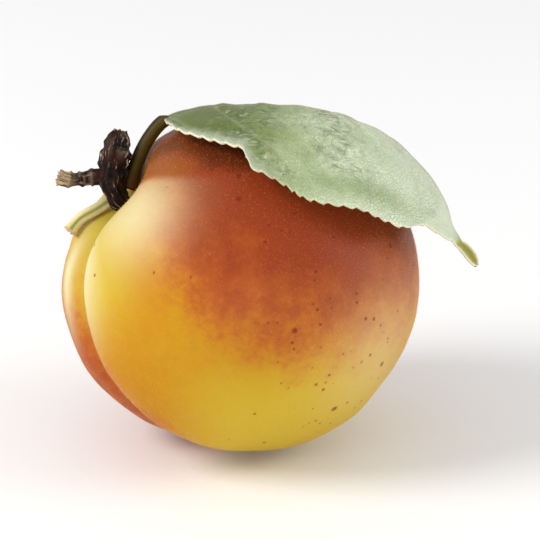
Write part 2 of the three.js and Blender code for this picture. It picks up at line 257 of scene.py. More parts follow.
@dataclass(frozen=True)
class FruitForm:
    """Skin of the fruit as a distance from its centre in every direction."""

    stem_radius: float = 23.2
    tip_radius: float = 23.1
    suture_radius: float = 22.95
    cheek_radius: float = 22.3
    lean_swell_stem: float = 1.9
    lean_swell_tip: float = 1.2
    stem_angle: float = math.radians(145.0)
    stem_turn: float = math.radians(14.0)
    suture_roll: float = math.radians(8.0)
    suture_bend: float = math.radians(9.0)
    cavity_depth: float = 5.6
    cavity_width: float = 7.0
    tip_dimple_depth: float = 0.3
    tip_dimple_width: float = 2.5
    groove_depth_stem: float = 3.4
    groove_depth_middle: float = 2.2
    groove_depth_tip: float = 0.8
    groove_width: float = 2.4
    groove_rounding: float = 0.8
    front_lobe_swell: float = 0.6
    back_lobe_swell: float = 0.2
    lobe_offset: float = 6.5
    lobe_width: float = 4.0
    knob_place: Place = (-20.6, 7.0, 1.2)
    knob_height: float = 0.9
    knob_radius: float = 2.6

    @cached_property
    def stem_axis(self) -> Array:
        """Direction of the stem end.

        Returns:
            A unit vector.
        """
        level = math.cos(self.stem_turn)
        return np.array([
            math.cos(self.stem_angle) * level,
            math.sin(self.stem_angle) * level,
            math.sin(self.stem_turn),
        ])

    @cached_property
    def suture_axis(self) -> Array:
        """Direction of the suture half way round."""
        level = unit(np.cross(np.array([0.0, 0.0, 1.0]), self.stem_axis))
        return turn_about(level, self.stem_axis, self.suture_roll)

    @cached_property
    def cheek_axis(self) -> Array:
        """Direction of the front cheek."""
        return np.cross(self.stem_axis, self.suture_axis)

    def shares(self, directions: Array) -> tuple[Array, Array, Array, Array]:
        """Where directions lie on the fruit.

        Args:
            directions: Unit vectors, one row each.

        Returns:
            Base radius, and the shares toward the stem, the bent suture and the cheek.
        """
        lengthwise = directions @ self.stem_axis
        toward_stem = lengthwise / np.where(lengthwise > 0.0, self.stem_radius, self.tip_radius)
        toward_suture = directions @ self.suture_axis / self.suture_radius
        toward_cheek = directions @ self.cheek_axis / self.cheek_radius
        base = 1.0 / np.sqrt(toward_stem**2 + toward_suture**2 + toward_cheek**2)
        stem_share = toward_stem * base
        bend = self.suture_bend * stem_share
        suture_share = base * (toward_suture * np.cos(bend) + toward_cheek * np.sin(bend))
        cheek_share = base * (toward_cheek * np.cos(bend) - toward_suture * np.sin(bend))
        return base, stem_share, suture_share, cheek_share

    def radius(self, directions: Array) -> Array:
        """Distance from the centre to the smooth skin, one number a direction.

        Args:
            directions: Unit vectors, one row each.

        Returns:
            One radius a direction.
        """
        base, stem_share, suture_share, cheek_share = self.shares(directions)
        across = self.cheek_radius * cheek_share
        from_axis = np.hypot(self.suture_radius * suture_share, across)
        toward_stem_end = smoothstep(stem_share, -0.5, 0.5)
        lean = blend(self.lean_swell_tip, self.lean_swell_stem, toward_stem_end)
        lean = lean * suture_share * stem_share
        on_suture_side = smoothstep(suture_share, 0.0, 0.3)
        groove_end = np.where(stem_share > 0.0, self.groove_depth_stem, self.groove_depth_tip)
        depth = blend(self.groove_depth_middle, groove_end, stem_share**2)
        swell = np.where(across > 0.0, self.front_lobe_swell, self.back_lobe_swell)
        lobe = swell * bell(np.abs(across) - self.lobe_offset, self.lobe_width)
        hollow = np.where(
            stem_share > 0.0,
            self.cavity_depth * bell(from_axis, self.cavity_width),
            self.tip_dimple_depth * bell(from_axis, self.tip_dimple_width),
        )
        groove = depth * self.groove_section(across)
        knob = self.knob_height * bell(self.from_knob(directions), self.knob_radius)
        return base + lean + on_suture_side * (lobe - groove) - hollow + knob

    def from_knob(self, directions: Array) -> Array:
        """Distance over the skin from the middle of the knob."""
        middle = unit(np.array(self.knob_place))
        return self.stem_radius * np.linalg.norm(directions - middle, axis=-1)

    def groove_section(self, across: Array) -> Array:
        """Rounded V of the suture groove, 1 at its floor."""
        rounding = self.groove_rounding
        return np.exp((rounding - np.hypot(across, rounding)) / self.groove_width)

    def directions(self, polar: Array, around: Array) -> Array:
        """Unit vectors at angles from the stem axis and round it from the suture.

        Args:
            polar: Angles from the stem axis.
            around: Angles round it.

        Returns:
            One unit vector for each pair of angles.
        """
        turned = around + self.suture_bend * np.cos(polar)
        half_length = np.where(np.cos(polar) > 0.0, self.stem_radius, self.tip_radius)
        toward_stem = half_length * np.cos(polar)
        toward_suture = self.suture_radius * np.sin(polar) * np.cos(turned)
        toward_cheek = self.cheek_radius * np.sin(polar) * np.sin(turned)
        return unit(
            toward_stem[..., None] * self.stem_axis
            + toward_suture[..., None] * self.suture_axis
            + toward_cheek[..., None] * self.cheek_axis
        )

    def lift_off(self, points: Array, clearance: float) -> Array:
        """Moves points out along their radius, softly, until they clear the skin.

        Args:
            points: Points, one row each.
            clearance: Height above the skin that they keep.

        Returns:
            The moved points.
        """
        softness = 0.4
        distance = np.linalg.norm(points, axis=-1)
        directions = points / distance[..., None]
        shape = directions.shape[:-1]
        limit = self.radius(directions.reshape(-1, 3)).reshape(shape) + clearance
        over = (distance - limit) / softness
        return directions * (limit + softness * np.logaddexp(0.0, over))[..., None]


@dataclass(frozen=True)
class Stance:
    """How the construction frame stands in the row frame."""

    lean: float
    shift: Array

    def place(self, points: Array) -> Array:
        """Points of the construction frame, in millimetres, as places in the row frame, in metres.

        Args:
            points: Points, in millimetres.

        Returns:
            The places, in metres.
        """
        right, up, front = points[..., 0], points[..., 1], points[..., 2]
        sine, cosine = math.sin(self.lean), math.cos(self.lean)
        turned = np.stack([right, up * sine - front * cosine, up * cosine + front * sine], axis=-1)
        return (turned + self.shift) * MILLIMETRE


# ---- Meshes ----


def make_object(name: str, points: Array, faces: list[tuple[int, ...]]) -> bpy.types.Object:
    """A smooth-shaded mesh object at the origin.

    Args:
        name: Name of the object and its mesh.
        points: Vertices in metres, one row each.
        faces: Corner numbers of each face, seen anticlockwise from outside.

    Returns:
        The linked object.
    """
    mesh = bpy.data.meshes.new(name)
    mesh.from_pydata(points.tolist(), [], faces)
    mesh.shade_smooth()
    mesh.update()
    thing = bpy.data.objects.new(name, mesh)
    bpy.context.scene.collection.objects.link(thing)
    return thing


def keep_fields(thing: bpy.types.Object, fields: dict[str, Array]) -> None:
    """Stores fields of one number a vertex on a mesh, for its finish to read by name.

    Args:
        thing: Mesh object.
        fields: Name and values of each field.
    """
    for name, values in fields.items():
        attribute = thing.data.attributes.new(name, "FLOAT", "POINT")
        attribute.data.foreach_set("value", np.ascontiguousarray(values, dtype=np.float32).ravel())


def keep_plan(thing: bpy.types.Object, across: Array, along: Array) -> None:
    """Stores a flat pattern plan as the mesh's UV map.

    Args:
        thing: Mesh object.
        across: First coordinate of each vertex, in millimetres.
        along: Second coordinate of each vertex, in millimetres.
    """
    corners = np.empty(len(thing.data.loops), dtype=np.int32)
    thing.data.loops.foreach_get("vertex_index", corners)
    plan = thing.data.uv_layers.new(name="plan")
    pairs = np.stack([across.ravel()[corners], along.ravel()[corners]], axis=-1) * PLAN_SCALE
    plan.data.foreach_set("uv", pairs.astype(np.float32).ravel())


def closed_faces(rings: int, sides: int) -> list[tuple[int, ...]]:
    """Faces of a closed tube: quads between neighbouring rings, then a fan of triangles at each end.

    Args:
        rings: How many rings the tube has.
        sides: How many vertices each ring has; the two end points follow the last ring.

    Returns:
        Corner numbers of each face, which face outwards where the sides turn by the right-hand rule.
    """
    pairs = [(side, (side + 1) % sides) for side in range(sides)]
    faces = []
    for row in range(0, (rings - 1) * sides, sides):
        after = row + sides
        faces += [(row + side, row + beyond, after + beyond, after + side) for side, beyond in pairs]
    first_end = rings * sides
    last = first_end - sides
    for side, beyond in pairs:
        faces += [(first_end, beyond, side), (first_end + 1, last + side, last + beyond)]
    return faces


@dataclass(frozen=True)
class Tube:
    """A closed tube along a course whose section may change all the way."""

    course: Course
    rings: int
    sides: int
    reference: Place = (0.0, 0.0, 1.0)

    @cached_property
    def along(self) -> Array:
        """Share of the way along the course of each ring."""
        return np.linspace(0.0, 1.0, self.rings)

    @cached_property
    def angle(self) -> Array:
        """Angle of each side of a ring, from the first section direction."""
        return np.linspace(0.0, 2.0 * math.pi, self.sides, endpoint=False)

    @property
    def grid(self) -> tuple[Array, Array]:
        """Share along and angle round, as a column and a row that combine to rings and sides."""
        return self.along[:, None], self.angle[None, :]

    def section_start(self) -> Array:
        """Direction at angle 0 of each ring.

        Returns:
            One unit vector a ring.
        """
        tangent = self.course.tangent(self.along)
        reference = np.array(self.reference)
        return unit(reference - (tangent @ reference)[:, None] * tangent)

    def bark_places(self, stretch: float) -> Array:
        """Places for relief that runs round the tube and is drawn out along it.

        Args:
            stretch: How many millimetres along count as one across.

        Returns:
            One place for each ring and side.
        """
        radius = 1.4
        along = self.along[:, None] * self.course.length / stretch
        turn = 0.0 * along + self.angle[None, :]
        return np.stack([radius * np.cos(turn), radius * np.sin(turn), along + 0.0 * turn], axis=-1)

    def strands(self, stretch: float, wavelength: float, seed: int, waves: int = 20) -> Array:
        """Random relief that is drawn out along the tube, one number for each ring and side."""
        places = self.bark_places(stretch).reshape(-1, 3)
        return ripple(places, wavelength, seed, waves).reshape(self.rings, self.sides)

    def build(
        self,
        radius: Array,
        first: Array | None = None,
        ragged: Array | None = None,
        hollow: float = 0.0,
    ) -> tuple[Array, list[tuple[int, ...]]]:
        """Vertices and faces for a table of radii.

        Args:
            radius: One radius for each ring and side.
            first: Directions at angle 0 of each ring, where they are given.
            ragged: How far each side of the far end stands out beyond it.
            hollow: How far the middle of the far end is sunk.

        Returns:
            Vertices of the rings and the two end points, and all faces.
        """
        centre = self.course.at(self.along)
        tangent = self.course.tangent(self.along)
        first = self.section_start() if first is None else first
        second = np.cross(tangent, first)
        spoke = (
            np.cos(self.angle)[None, :, None] * first[:, None, :]
            + np.sin(self.angle)[None, :, None] * second[:, None, :]
        )
        rings = centre[:, None, :] + radius[..., None] * spoke
        if ragged is not None:
            reach = smoothstep(self.along, 0.86, 1.0)[:, None] * ragged[None, :]
            rings = rings + reach[..., None] * tangent[:, None, :]
        far_end = centre[-1:] - hollow * tangent[-1:]
        points = np.vstack([rings.reshape(-1, 3), centre[:1], far_end])
        return points, closed_faces(self.rings, self.sides)


# ---- Shader building blocks ----

Value = "bpy.types.NodeSocket | float | tuple[float, ...]"


def colour(red: int, green: int, blue: int) -> tuple[float, float, float, float]:
    """A display colour from 0 to 255 as scene-linear numbers.

    Args:
        red: Red level.
        green: Green level.
        blue: Blue level.

    Returns:
        Red, green, blue and full opacity.
    """
    linear = []
    for level in (red, green, blue):
        share = level / 255.0
        linear.append(share / 12.92 if share <= 0.04045 else ((share + 0.055) / 1.055) ** 2.4)
    return (linear[0], linear[1], linear[2], 1.0)


@dataclass
class Sheet:
    """A node tree that is filled by name."""

    tree: bpy.types.NodeTree

    def fill(self, node: bpy.types.Node, values: dict[str | int, Value]) -> None:
        """Sets each input to its number or colour, or links its output to it.

        Args:
            node: Node whose inputs are filled.
            values: For each input, a number or colour to set or an output to link.
        """
        for key, value in values.items():
            if isinstance(value, bpy.types.NodeSocket):
                self.tree.links.new(value, node.inputs[key])
            else:
                node.inputs[key].default_value = value

    def put(
        self, kind: str, values: dict[str | int, Value] | None = None, **settings: object
    ) -> bpy.types.Node:
        """Adds a node.

        Args:
            kind: Blender's name of the node type.
            values: For each input, a number or colour to set or an output to link.
            settings: Properties of the node.

        Returns:
            The new node.
        """
        node = self.tree.nodes.new(kind)
        for name, setting in settings.items():
            setattr(node, name, setting)
        self.fill(node, values or {})
        return node

    def math(self, operation: str, first: Value, second: Value = 0.0, third: Value = 0.0) -> Value:
        """Result of one arithmetic step."""
        node = self.put("ShaderNodeMath", {0: first, 1: second, 2: third}, operation=operation)
        return node.outputs[0]

    def times(self, first: Value, second: Value) -> Value:
        """One value multiplied by another."""
        return self.math("MULTIPLY", first, second)

    def ease(
        self, value: Value, low: float, high: float, start: float = 0.0, end: float = 1.0
    ) -> Value:
        """Maps a value smoothly from low..high to start..end."""
        values = {"Value": value, "From Min": low, "From Max": high, "To Min": start, "To Max": end}
        return self.put("ShaderNodeMapRange", values, interpolation_type="SMOOTHSTEP").outputs["Result"]

    def mix(self, share: Value, first: Value, second: Value) -> Value:
        """Mixes two colours: the first where share is 0, the second where it is 1."""
        values = {"Factor": share, 6: first, 7: second}
        return self.put("ShaderNodeMix", values, data_type="RGBA").outputs[2]

    def tinted(self, base: Value, layers: tuple[tuple[Value, Value], ...]) -> Value:
        """Lays colours over a base one after the other.

        Args:
            base: Colour below them all.
            layers: For each layer its share and its colour.

        Returns:
            The finished colour.
        """
        for share, tint in layers:
            base = self.mix(share, base, tint)
        return base

    def noise(self, place: Value, scale: Value, detail: float = 3.0, roughness: float = 0.5) -> Value:
        """Soft noise from 0 to 1."""
        values = {"Vector": place, "Scale": scale, "Detail": detail, "Roughness": roughness}
        return self.put("ShaderNodeTexNoise", values).outputs["Fac"]

    def attribute(self, name: str) -> Value:
        """A number that the mesh keeps at each vertex."""
        return self.put("ShaderNodeAttribute", attribute_name=name).outputs["Fac"]

    def plan(self) -> Value:
        """Place on the mesh's flat plan."""
        return self.put("ShaderNodeUVMap", uv_map="plan").outputs["UV"]

    def mapped(self, place: Value, **changes: Value) -> Value:
        """A place that is turned or scaled."""
        return self.put("ShaderNodeMapping", {"Vector": place, **changes}).outputs["Vector"]

    def bump(self, height: Value, distance: float) -> Value:
        """Normal bent by a height map; distance is its relief in metres."""
        return self.put("ShaderNodeBump", {"Height": height, "Distance": distance}).outputs["Normal"]

    def group(self, effect: bpy.types.NodeTree, **values: Value) -> Value:
        """Result of a shared effect that is placed with its own values."""
        return self.put("ShaderNodeGroup", values, node_tree=effect).outputs[0]


def new_effect(
    name: str, inputs: dict[str, float | None], output: str
) -> tuple[Sheet, dict[str, Value], bpy.types.Node]:
    """Starts a shared shader effect.

    Args:
        name: Name of the node group.
        inputs: Its inputs, with a number as default, or None for a place.
        output: Name of its number output.

    Returns:
        The group's sheet, its inputs by name and its output node.
    """
    tree = bpy.data.node_groups.new(name, "ShaderNodeTree")
    for label, default in inputs.items():
        kind = "NodeSocketVector" if default is None else "NodeSocketFloat"
        socket = tree.interface.new_socket(name=label, in_out="INPUT", socket_type=kind)
        if default is not None:
            socket.default_value = default
    tree.interface.new_socket(name=output, in_out="OUTPUT", socket_type="NodeSocketFloat")
    given = tree.nodes.new("NodeGroupInput")
    named = {socket.name: socket for socket in given.outputs if socket.name}
    return Sheet(tree), named, tree.nodes.new("NodeGroupOutput")


def speckle_effect() -> bpy.types.NodeTree:
    """Round specks at random places, some cells left empty: mask 1 inside a speck.

    Returns:
        The node group.
    """
    sheet, given, result = new_effect(
        "speckle",
        {"Place": None, "Cells": 300.0, "Size": 0.12, "Share": 0.4, "Softness": 0.04},
        "Mask",
    )
    cells = sheet.put("ShaderNodeTexVoronoi", {"Vector": given["Place"], "Scale": given["Cells"]})
    chance = sheet.put("ShaderNodeSeparateColor", {"Color": cells.outputs["Color"]})
    chosen = sheet.math("LESS_THAN", chance.outputs["Red"], given["Share"])
    size = sheet.math("MULTIPLY", given["Size"], sheet.math("ADD", 0.45, chance.outputs["Green"]))
    inner = sheet.math("SUBTRACT", size, given["Softness"])
    values = {"Value": cells.outputs["Distance"], "From Min": size, "From Max": inner}
    inside = sheet.put("ShaderNodeMapRange", values, interpolation_type="SMOOTHSTEP")
    sheet.fill(result, {"Mask": sheet.times(inside.outputs["Result"], chosen)})
    return sheet.tree


def mottle_effect() -> bpy.types.NodeTree:
    """Patchy variation at two sizes: 0 to 1 around a half.

    Returns:
        The node group.
    """
    sheet, given, result = new_effect(
        "mottle", {"Place": None, "Broad": 60.0, "Fine": 400.0, "Contrast": 1.0}, "Value"
    )
    broad = sheet.noise(given["Place"], given["Broad"], 2.0)
    fine = sheet.noise(given["Place"], given["Fine"], 4.0)
    centred = sheet.math("SUBTRACT", sheet.math("ADD", broad, sheet.times(fine, 0.5)), 0.75)
    sheet.fill(result, {"Value": sheet.math("MULTIPLY_ADD", centred, given["Contrast"], 0.5)})
    return sheet.tree


@dataclass(frozen=True)
class Effects:
    """Shared shader effects."""

    speckle: bpy.types.NodeTree
    mottle: bpy.types.NodeTree

    @classmethod
    def build(cls) -> Effects:
        """Builds every shared effect once."""
        return cls(speckle=speckle_effect(), mottle=mottle_effect())


def new_material(name: str) -> tuple[bpy.types.Material, Sheet, bpy.types.Node, Value]:
    """An empty material with a Principled shader on its output.

    Args:
        name: Name of the material.

    Returns:
        The material, its sheet, the shader node and the place on the object.
    """
    material = bpy.data.materials.new(name)
    material.use_nodes = True
    material.node_tree.nodes.clear()
    sheet = Sheet(material.node_tree)
    shader = sheet.put("ShaderNodeBsdfPrincipled")
    sheet.put("ShaderNodeOutputMaterial", {"Surface": shader.outputs["BSDF"]})
    return material, sheet, shader, sheet.put("ShaderNodeTexCoord").outputs["Object"]


# ---- Repeated details, grown by geometry nodes ----


@dataclass
class Grower:
    """A geometry node tree with named inputs."""

    tree: bpy.types.NodeTree
    given: bpy.types.Node
    result: bpy.types.Node

    @classmethod
    def start(cls, name: str, sizes: tuple[str, ...]) -> Grower:
        """Starts a tree that grows on a geometry, with a seed and a material.

        Args:
            name: Name of the tree.
            sizes: Names of its number inputs.

        Returns:
            The tree with its input and output nodes.
        """
        tree = bpy.data.node_groups.new(name, "GeometryNodeTree")
        kinds = dict.fromkeys(("Geometry", *sizes), "Float")
        kinds.update(Geometry="Geometry", Seed="Int", Material="Material")
        for label, kind in kinds.items():
            tree.interface.new_socket(name=label, in_out="INPUT", socket_type=f"NodeSocket{kind}")
        tree.interface.new_socket(name="Geometry", in_out="OUTPUT", socket_type="NodeSocketGeometry")
        return cls(tree, tree.nodes.new("NodeGroupInput"), tree.nodes.new("NodeGroupOutput"))

    def put(
        self, kind: str, values: dict[str | int, Value] | None = None, **settings: object
    ) -> bpy.types.Node:
        """Adds a node, as Sheet.put does."""
        return Sheet(self.tree).put(kind, values, **settings)

    def random_size(self, least: float, most: float) -> Value:
        """A random size for each instance, from the tree's seed."""
        values = {2: least, 3: most, "Seed": self.given.outputs["Seed"]}
        return self.put("FunctionNodeRandomValue", values, data_type="FLOAT").outputs[1]

    def finish(self, instances: Value) -> bpy.types.NodeTree:
        """Turns the instances into one dressed mesh and ends the tree.

        Args:
            instances: The instances.

        Returns:
            The finished tree.
        """
        whole = self.put("GeometryNodeRealizeInstances", {"Geometry": instances})
        dressed = self.put(
            "GeometryNodeSetMaterial",
            {"Geometry": whole.outputs["Geometry"], "Material": self.given.outputs["Material"]},
        )
        self.tree.links.new(dressed.outputs["Geometry"], self.result.inputs["Geometry"])
        return self.tree


def beads_tree() -> bpy.types.NodeTree:
    """Tree that puts a small round bead on every vertex.

    Returns:
        The node tree.
    """
    grower = Grower.start("beads", ("Radius",))
    given = grower.given.outputs
    points = grower.put("GeometryNodeMeshToPoints", {"Mesh": given["Geometry"]})
    bead = grower.put("GeometryNodeMeshIcoSphere", {"Radius": given["Radius"], "Subdivisions": 2})
    size = grower.random_size(0.7, 1.3)
    beads = grower.put("GeometryNodeInstanceOnPoints", {
        "Points": points.outputs["Points"],
        "Instance": bead.outputs["Mesh"],
        "Scale": size,
    })
    return grower.finish(beads.outputs["Instances"])


def down_tree() -> bpy.types.NodeTree:
    """Tree that grows short leaning hairs out of a surface.

    Returns:
        The node tree.
    """
    grower = Grower.start("down", ("Density", "Length", "Radius", "Lean", "Clearance"))
    given = grower.given.outputs
    position = grower.put("GeometryNodeInputPosition").outputs[0]
    place = grower.put("ShaderNodeSeparateXYZ", {"Vector": position})
    off_ground = grower.put(
        "FunctionNodeCompare",
        {0: place.outputs["Z"], 1: given["Clearance"]},
        data_type="FLOAT",
        operation="GREATER_THAN",
    )
    scatter = grower.put("GeometryNodeDistributePointsOnFaces", {
        "Mesh": given["Geometry"],
        "Selection": off_ground.outputs[0],
        "Density": given["Density"],
        "Seed": given["Seed"],
    }, distribute_method="RANDOM")
    hair = grower.put("GeometryNodeMeshCone", {
        "Vertices": 3, "Side Segments": 1, "Fill Segments": 1, "Radius Top": 0.0,
        "Radius Bottom": given["Radius"], "Depth": given["Length"],
    }, fill_type="NGON")
    half_turn = 3.14
    less = grower.put("ShaderNodeMath", {0: given["Lean"], 1: -1.0}, operation="MULTIPLY").outputs[0]
    low = grower.put("ShaderNodeCombineXYZ", {"X": less, "Y": less, "Z": -half_turn})
    high = grower.put("ShaderNodeCombineXYZ", {"X": given["Lean"], "Y": given["Lean"], "Z": half_turn})
    lean = grower.put("FunctionNodeRandomValue", {
        0: low.outputs["Vector"], 1: high.outputs["Vector"], "Seed": given["Seed"],
    }, data_type="FLOAT_VECTOR")
    size = grower.random_size(0.55, 1.25)
    hairs = grower.put("GeometryNodeInstanceOnPoints", {
        "Points": scatter.outputs["Points"],
        "Instance": hair.outputs["Mesh"],
        "Rotation": scatter.outputs["Rotation"],
        "Scale": size,
    })
    leaning = grower.put("GeometryNodeRotateInstances", {
        "Instances": hairs.outputs["Instances"], "Rotation": lean.outputs[0],
    })
    return grower.finish(leaning.outputs["Instances"])


def grown(
    ground: bpy.types.Object, tree: bpy.types.NodeTree, values: dict[str, object]
) -> bpy.types.Object:
    """Grows a node tree on an object and keeps the result as a plain mesh.

    Args:
        ground: What it grows on, which is replaced.
        tree: The node tree.
        values: Value of each named input.

    Returns:
        The plain mesh object.
    """
    modifier = ground.modifiers.new("grow", "NODES")
    modifier.node_group = tree
    for item in tree.interface.items_tree:
        if item.in_out == "INPUT" and item.name in values:
            modifier[item.identifier] = values[item.name]
    depsgraph = bpy.context.evaluated_depsgraph_get()
    mesh = bpy.data.meshes.new_from_object(ground.evaluated_get(depsgraph), depsgraph=depsgraph)
    old_mesh = ground.data
    ground.modifiers.remove(modifier)
    ground.data = mesh
    bpy.data.meshes.remove(old_mesh)
    mesh.name = ground.name
    return ground


# ---- Finishes ----


@dataclass(frozen=True)
class SkinFinish:
    """Velvety ripe skin: golden yellow, an orange-red blush and brown-red specks, with painted shade
    and painted highlights.
    """

    # cream: colour of the painted highlights, and the paleness of the pores
    cream: Colour = colour(218, 208, 158)
    lemon: Colour = colour(197, 172, 42)
    golden: Colour = colour(193, 143, 16)
    amber: Colour = colour(188, 128, 14)
    orange: Colour = colour(184, 94, 28)
    red: Colour = colour(144, 56, 23)
    deep_blush_and_shade: Colour = colour(98, 38, 10)
    # tan: painted shade colour on the front of the crown
    tan: Colour = colour(150, 86, 30)
    green: Colour = colour(150, 140, 44)
    bruise: Colour = colour(132, 92, 24)
    speck: Colour = colour(116, 40, 22)
    small_strength: float = 0.7
    large_strength: float = 0.8
    large_share: float = 0.6
    pore_strength: float = 0.09
    pore_paleness: float = 0.3
    cavity_green: float = 0.5
    relief: float = 0.00006

    def build(self, effects: Effects) -> bpy.types.Material:
        """Builds the material.

        Args:
            effects: Shared shader effects.

        Returns:
            The material.
        """
        material, sheet, shader, place = new_material("ripe_skin")
        patch = sheet.group(effects.mottle, Place=place, Broad=90.0, Fine=800.0, Contrast=1.1)
        stipple = sheet.noise(place, 1300.0, 3.0, 0.7)
        clouds = sheet.noise(place, 75.0, 4.0, 0.6)

        wander = sheet.math("MULTIPLY_ADD", clouds, 0.3, -0.15)
        grain = sheet.math("MULTIPLY_ADD", stipple, 0.2, -0.1)
        blots = sheet.math("MULTIPLY_ADD", sheet.noise(place, 300.0, 3.0, 0.55), 0.26, -0.13)
        uneven = sheet.math("ADD", sheet.math("ADD", wander, grain), blots)
        # The blush field also carries painted shade on the crown and on the lower left back.
        field = sheet.math("ADD", sheet.attribute("blush"), uneven)

        base = sheet.mix(sheet.ease(patch, 0.15, 0.85), self.golden, self.amber)
        base = sheet.tinted(base, (
            (sheet.attribute("lemon"), self.lemon),
            (sheet.ease(field, 0.05, 0.38), self.orange),
            (sheet.ease(field, 0.16, 0.58), self.red),
            # Deepest blush colour: painted shade on the crown under the leaf, deep blush on the sunny
            # top.
            (sheet.ease(field, 0.66, 0.96), self.deep_blush_and_shade),
            # Tan: painted shade on the front of the crown.
            (sheet.attribute("tan"), self.tan),
            # Painted highlight: cream where the key and side lights fall.
            (sheet.attribute("painted_highlight"), self.cream),
            (sheet.times(sheet.attribute("cavity"), self.cavity_green), self.green),
            (sheet.attribute("tip_scar"), self.bruise),
            (self.spots(sheet, effects, place), self.speck),
        ))
        lighter = sheet.mix(self.pore_paleness, base, self.cream)
        pores = sheet.group(
            effects.speckle, Place=place, Cells=1500.0, Size=0.26, Share=0.5, Softness=0.2
        )
        base = sheet.mix(sheet.times(pores, self.pore_strength), base, lighter)

        down = sheet.noise(place, 2600.0, 2.0, 0.6)
        peel = sheet.noise(place, 520.0, 3.0, 0.5)
        height = sheet.math("MULTIPLY_ADD", peel, 1.4, sheet.times(down, 0.6))
        sheet.fill(shader, {
            "Base Color": base,
            "Normal": sheet.bump(height, self.relief),
            "Roughness": sheet.ease(patch, 0.1, 0.9, 0.4, 0.5),
            "Subsurface Weight": 0.2,
            "Subsurface Radius": (1.0, 0.3, 0.06),
            "Subsurface Scale": 0.0022,
            "Sheen Weight": 0.05,
            "Sheen Roughness": 0.3,
            "Sheen Tint": colour(255, 190, 132),
            "Specular IOR Level": 0.22,
            "IOR": 1.38,
        })
        return material

    def spots(self, sheet: Sheet, effects: Effects, place: Value) -> Value:
        """Mask of the specks, small and large, which are more where the skin is sunny.

        Args:
            sheet: Node sheet of the material.
            effects: Shared shader effects.
            place: Place on the object.

        Returns:
            The mask, 1 inside a speck.
        """
        share = sheet.attribute("speck_share")
        fewer = sheet.times(share, self.large_share)
        masks = [
            sheet.times(sheet.group(effects.speckle, Place=place, **sizes), strength)
            for strength, sizes in (
                (self.small_strength, {"Cells": 640.0, "Size": 0.16, "Share": share, "Softness": 0.09}),
                (self.large_strength, {"Cells": 330.0, "Size": 0.15, "Share": fewer, "Softness": 0.1}),
            )
        ]
        return sheet.math("MAXIMUM", *masks)


@dataclass(frozen=True)
class BarkFinish:
    """Rough blackish bark with painted pale glints on its ridges, pale worn patches, painted highlights
    on raised rings and lighter broken wood.
    """

    dark: Colour = colour(16, 7, 4)
    brown: Colour = colour(58, 28, 16)
    grey: Colour = colour(194, 172, 148)
    wood: Colour = colour(216, 186, 146)
    glint_strength: float = 0.8
    wear_and_highlight_strength: float = 0.6
    relief: float = 0.00022

    def build(self, effects: Effects) -> bpy.types.Material:
        """Builds the material.

        Args:
            effects: Shared shader effects.

        Returns:
            The material.
        """
        material, sheet, shader, place = new_material("spur_bark")
        drawn_out = sheet.mapped(sheet.plan(), Scale=(1.0, 0.14, 1.0))
        fibre = sheet.noise(drawn_out, 300.0, 5.0, 0.65)
        blotch = sheet.group(effects.mottle, Place=place, Broad=450.0, Fine=2400.0, Contrast=1.6)
        # Painted glints: pale streaks along the raised bark.
        on_ridge = sheet.ease(sheet.attribute("ridge"), 0.45, 0.85)
        glint = sheet.times(sheet.ease(fibre, 0.54, 0.63), on_ridge)
        patch = sheet.ease(blotch, 0.3, 0.75, 0.0, self.wear_and_highlight_strength)
        base = sheet.mix(sheet.ease(blotch, 0.3, 0.9), self.dark, self.brown)
        base = sheet.tinted(base, (
            (sheet.times(glint, self.glint_strength), self.grey),
            # Pale grey: worn bark beside the bud scar, and painted highlight on the side stub's raised
            # rings.
            (sheet.times(sheet.attribute("wear_and_highlight"), patch), self.grey),
            (sheet.times(sheet.attribute("broken"), sheet.ease(fibre, 0.35, 0.55)), self.wood),
        ))
        height = sheet.math("ADD", fibre, sheet.times(blotch, 0.6))
        sheet.fill(shader, {
            "Base Color": base,
            "Normal": sheet.bump(height, self.relief),
            "Roughness": sheet.ease(fibre, 0.3, 0.8, 0.75, 0.35),
            "Specular IOR Level": 0.14,
        })
        return material


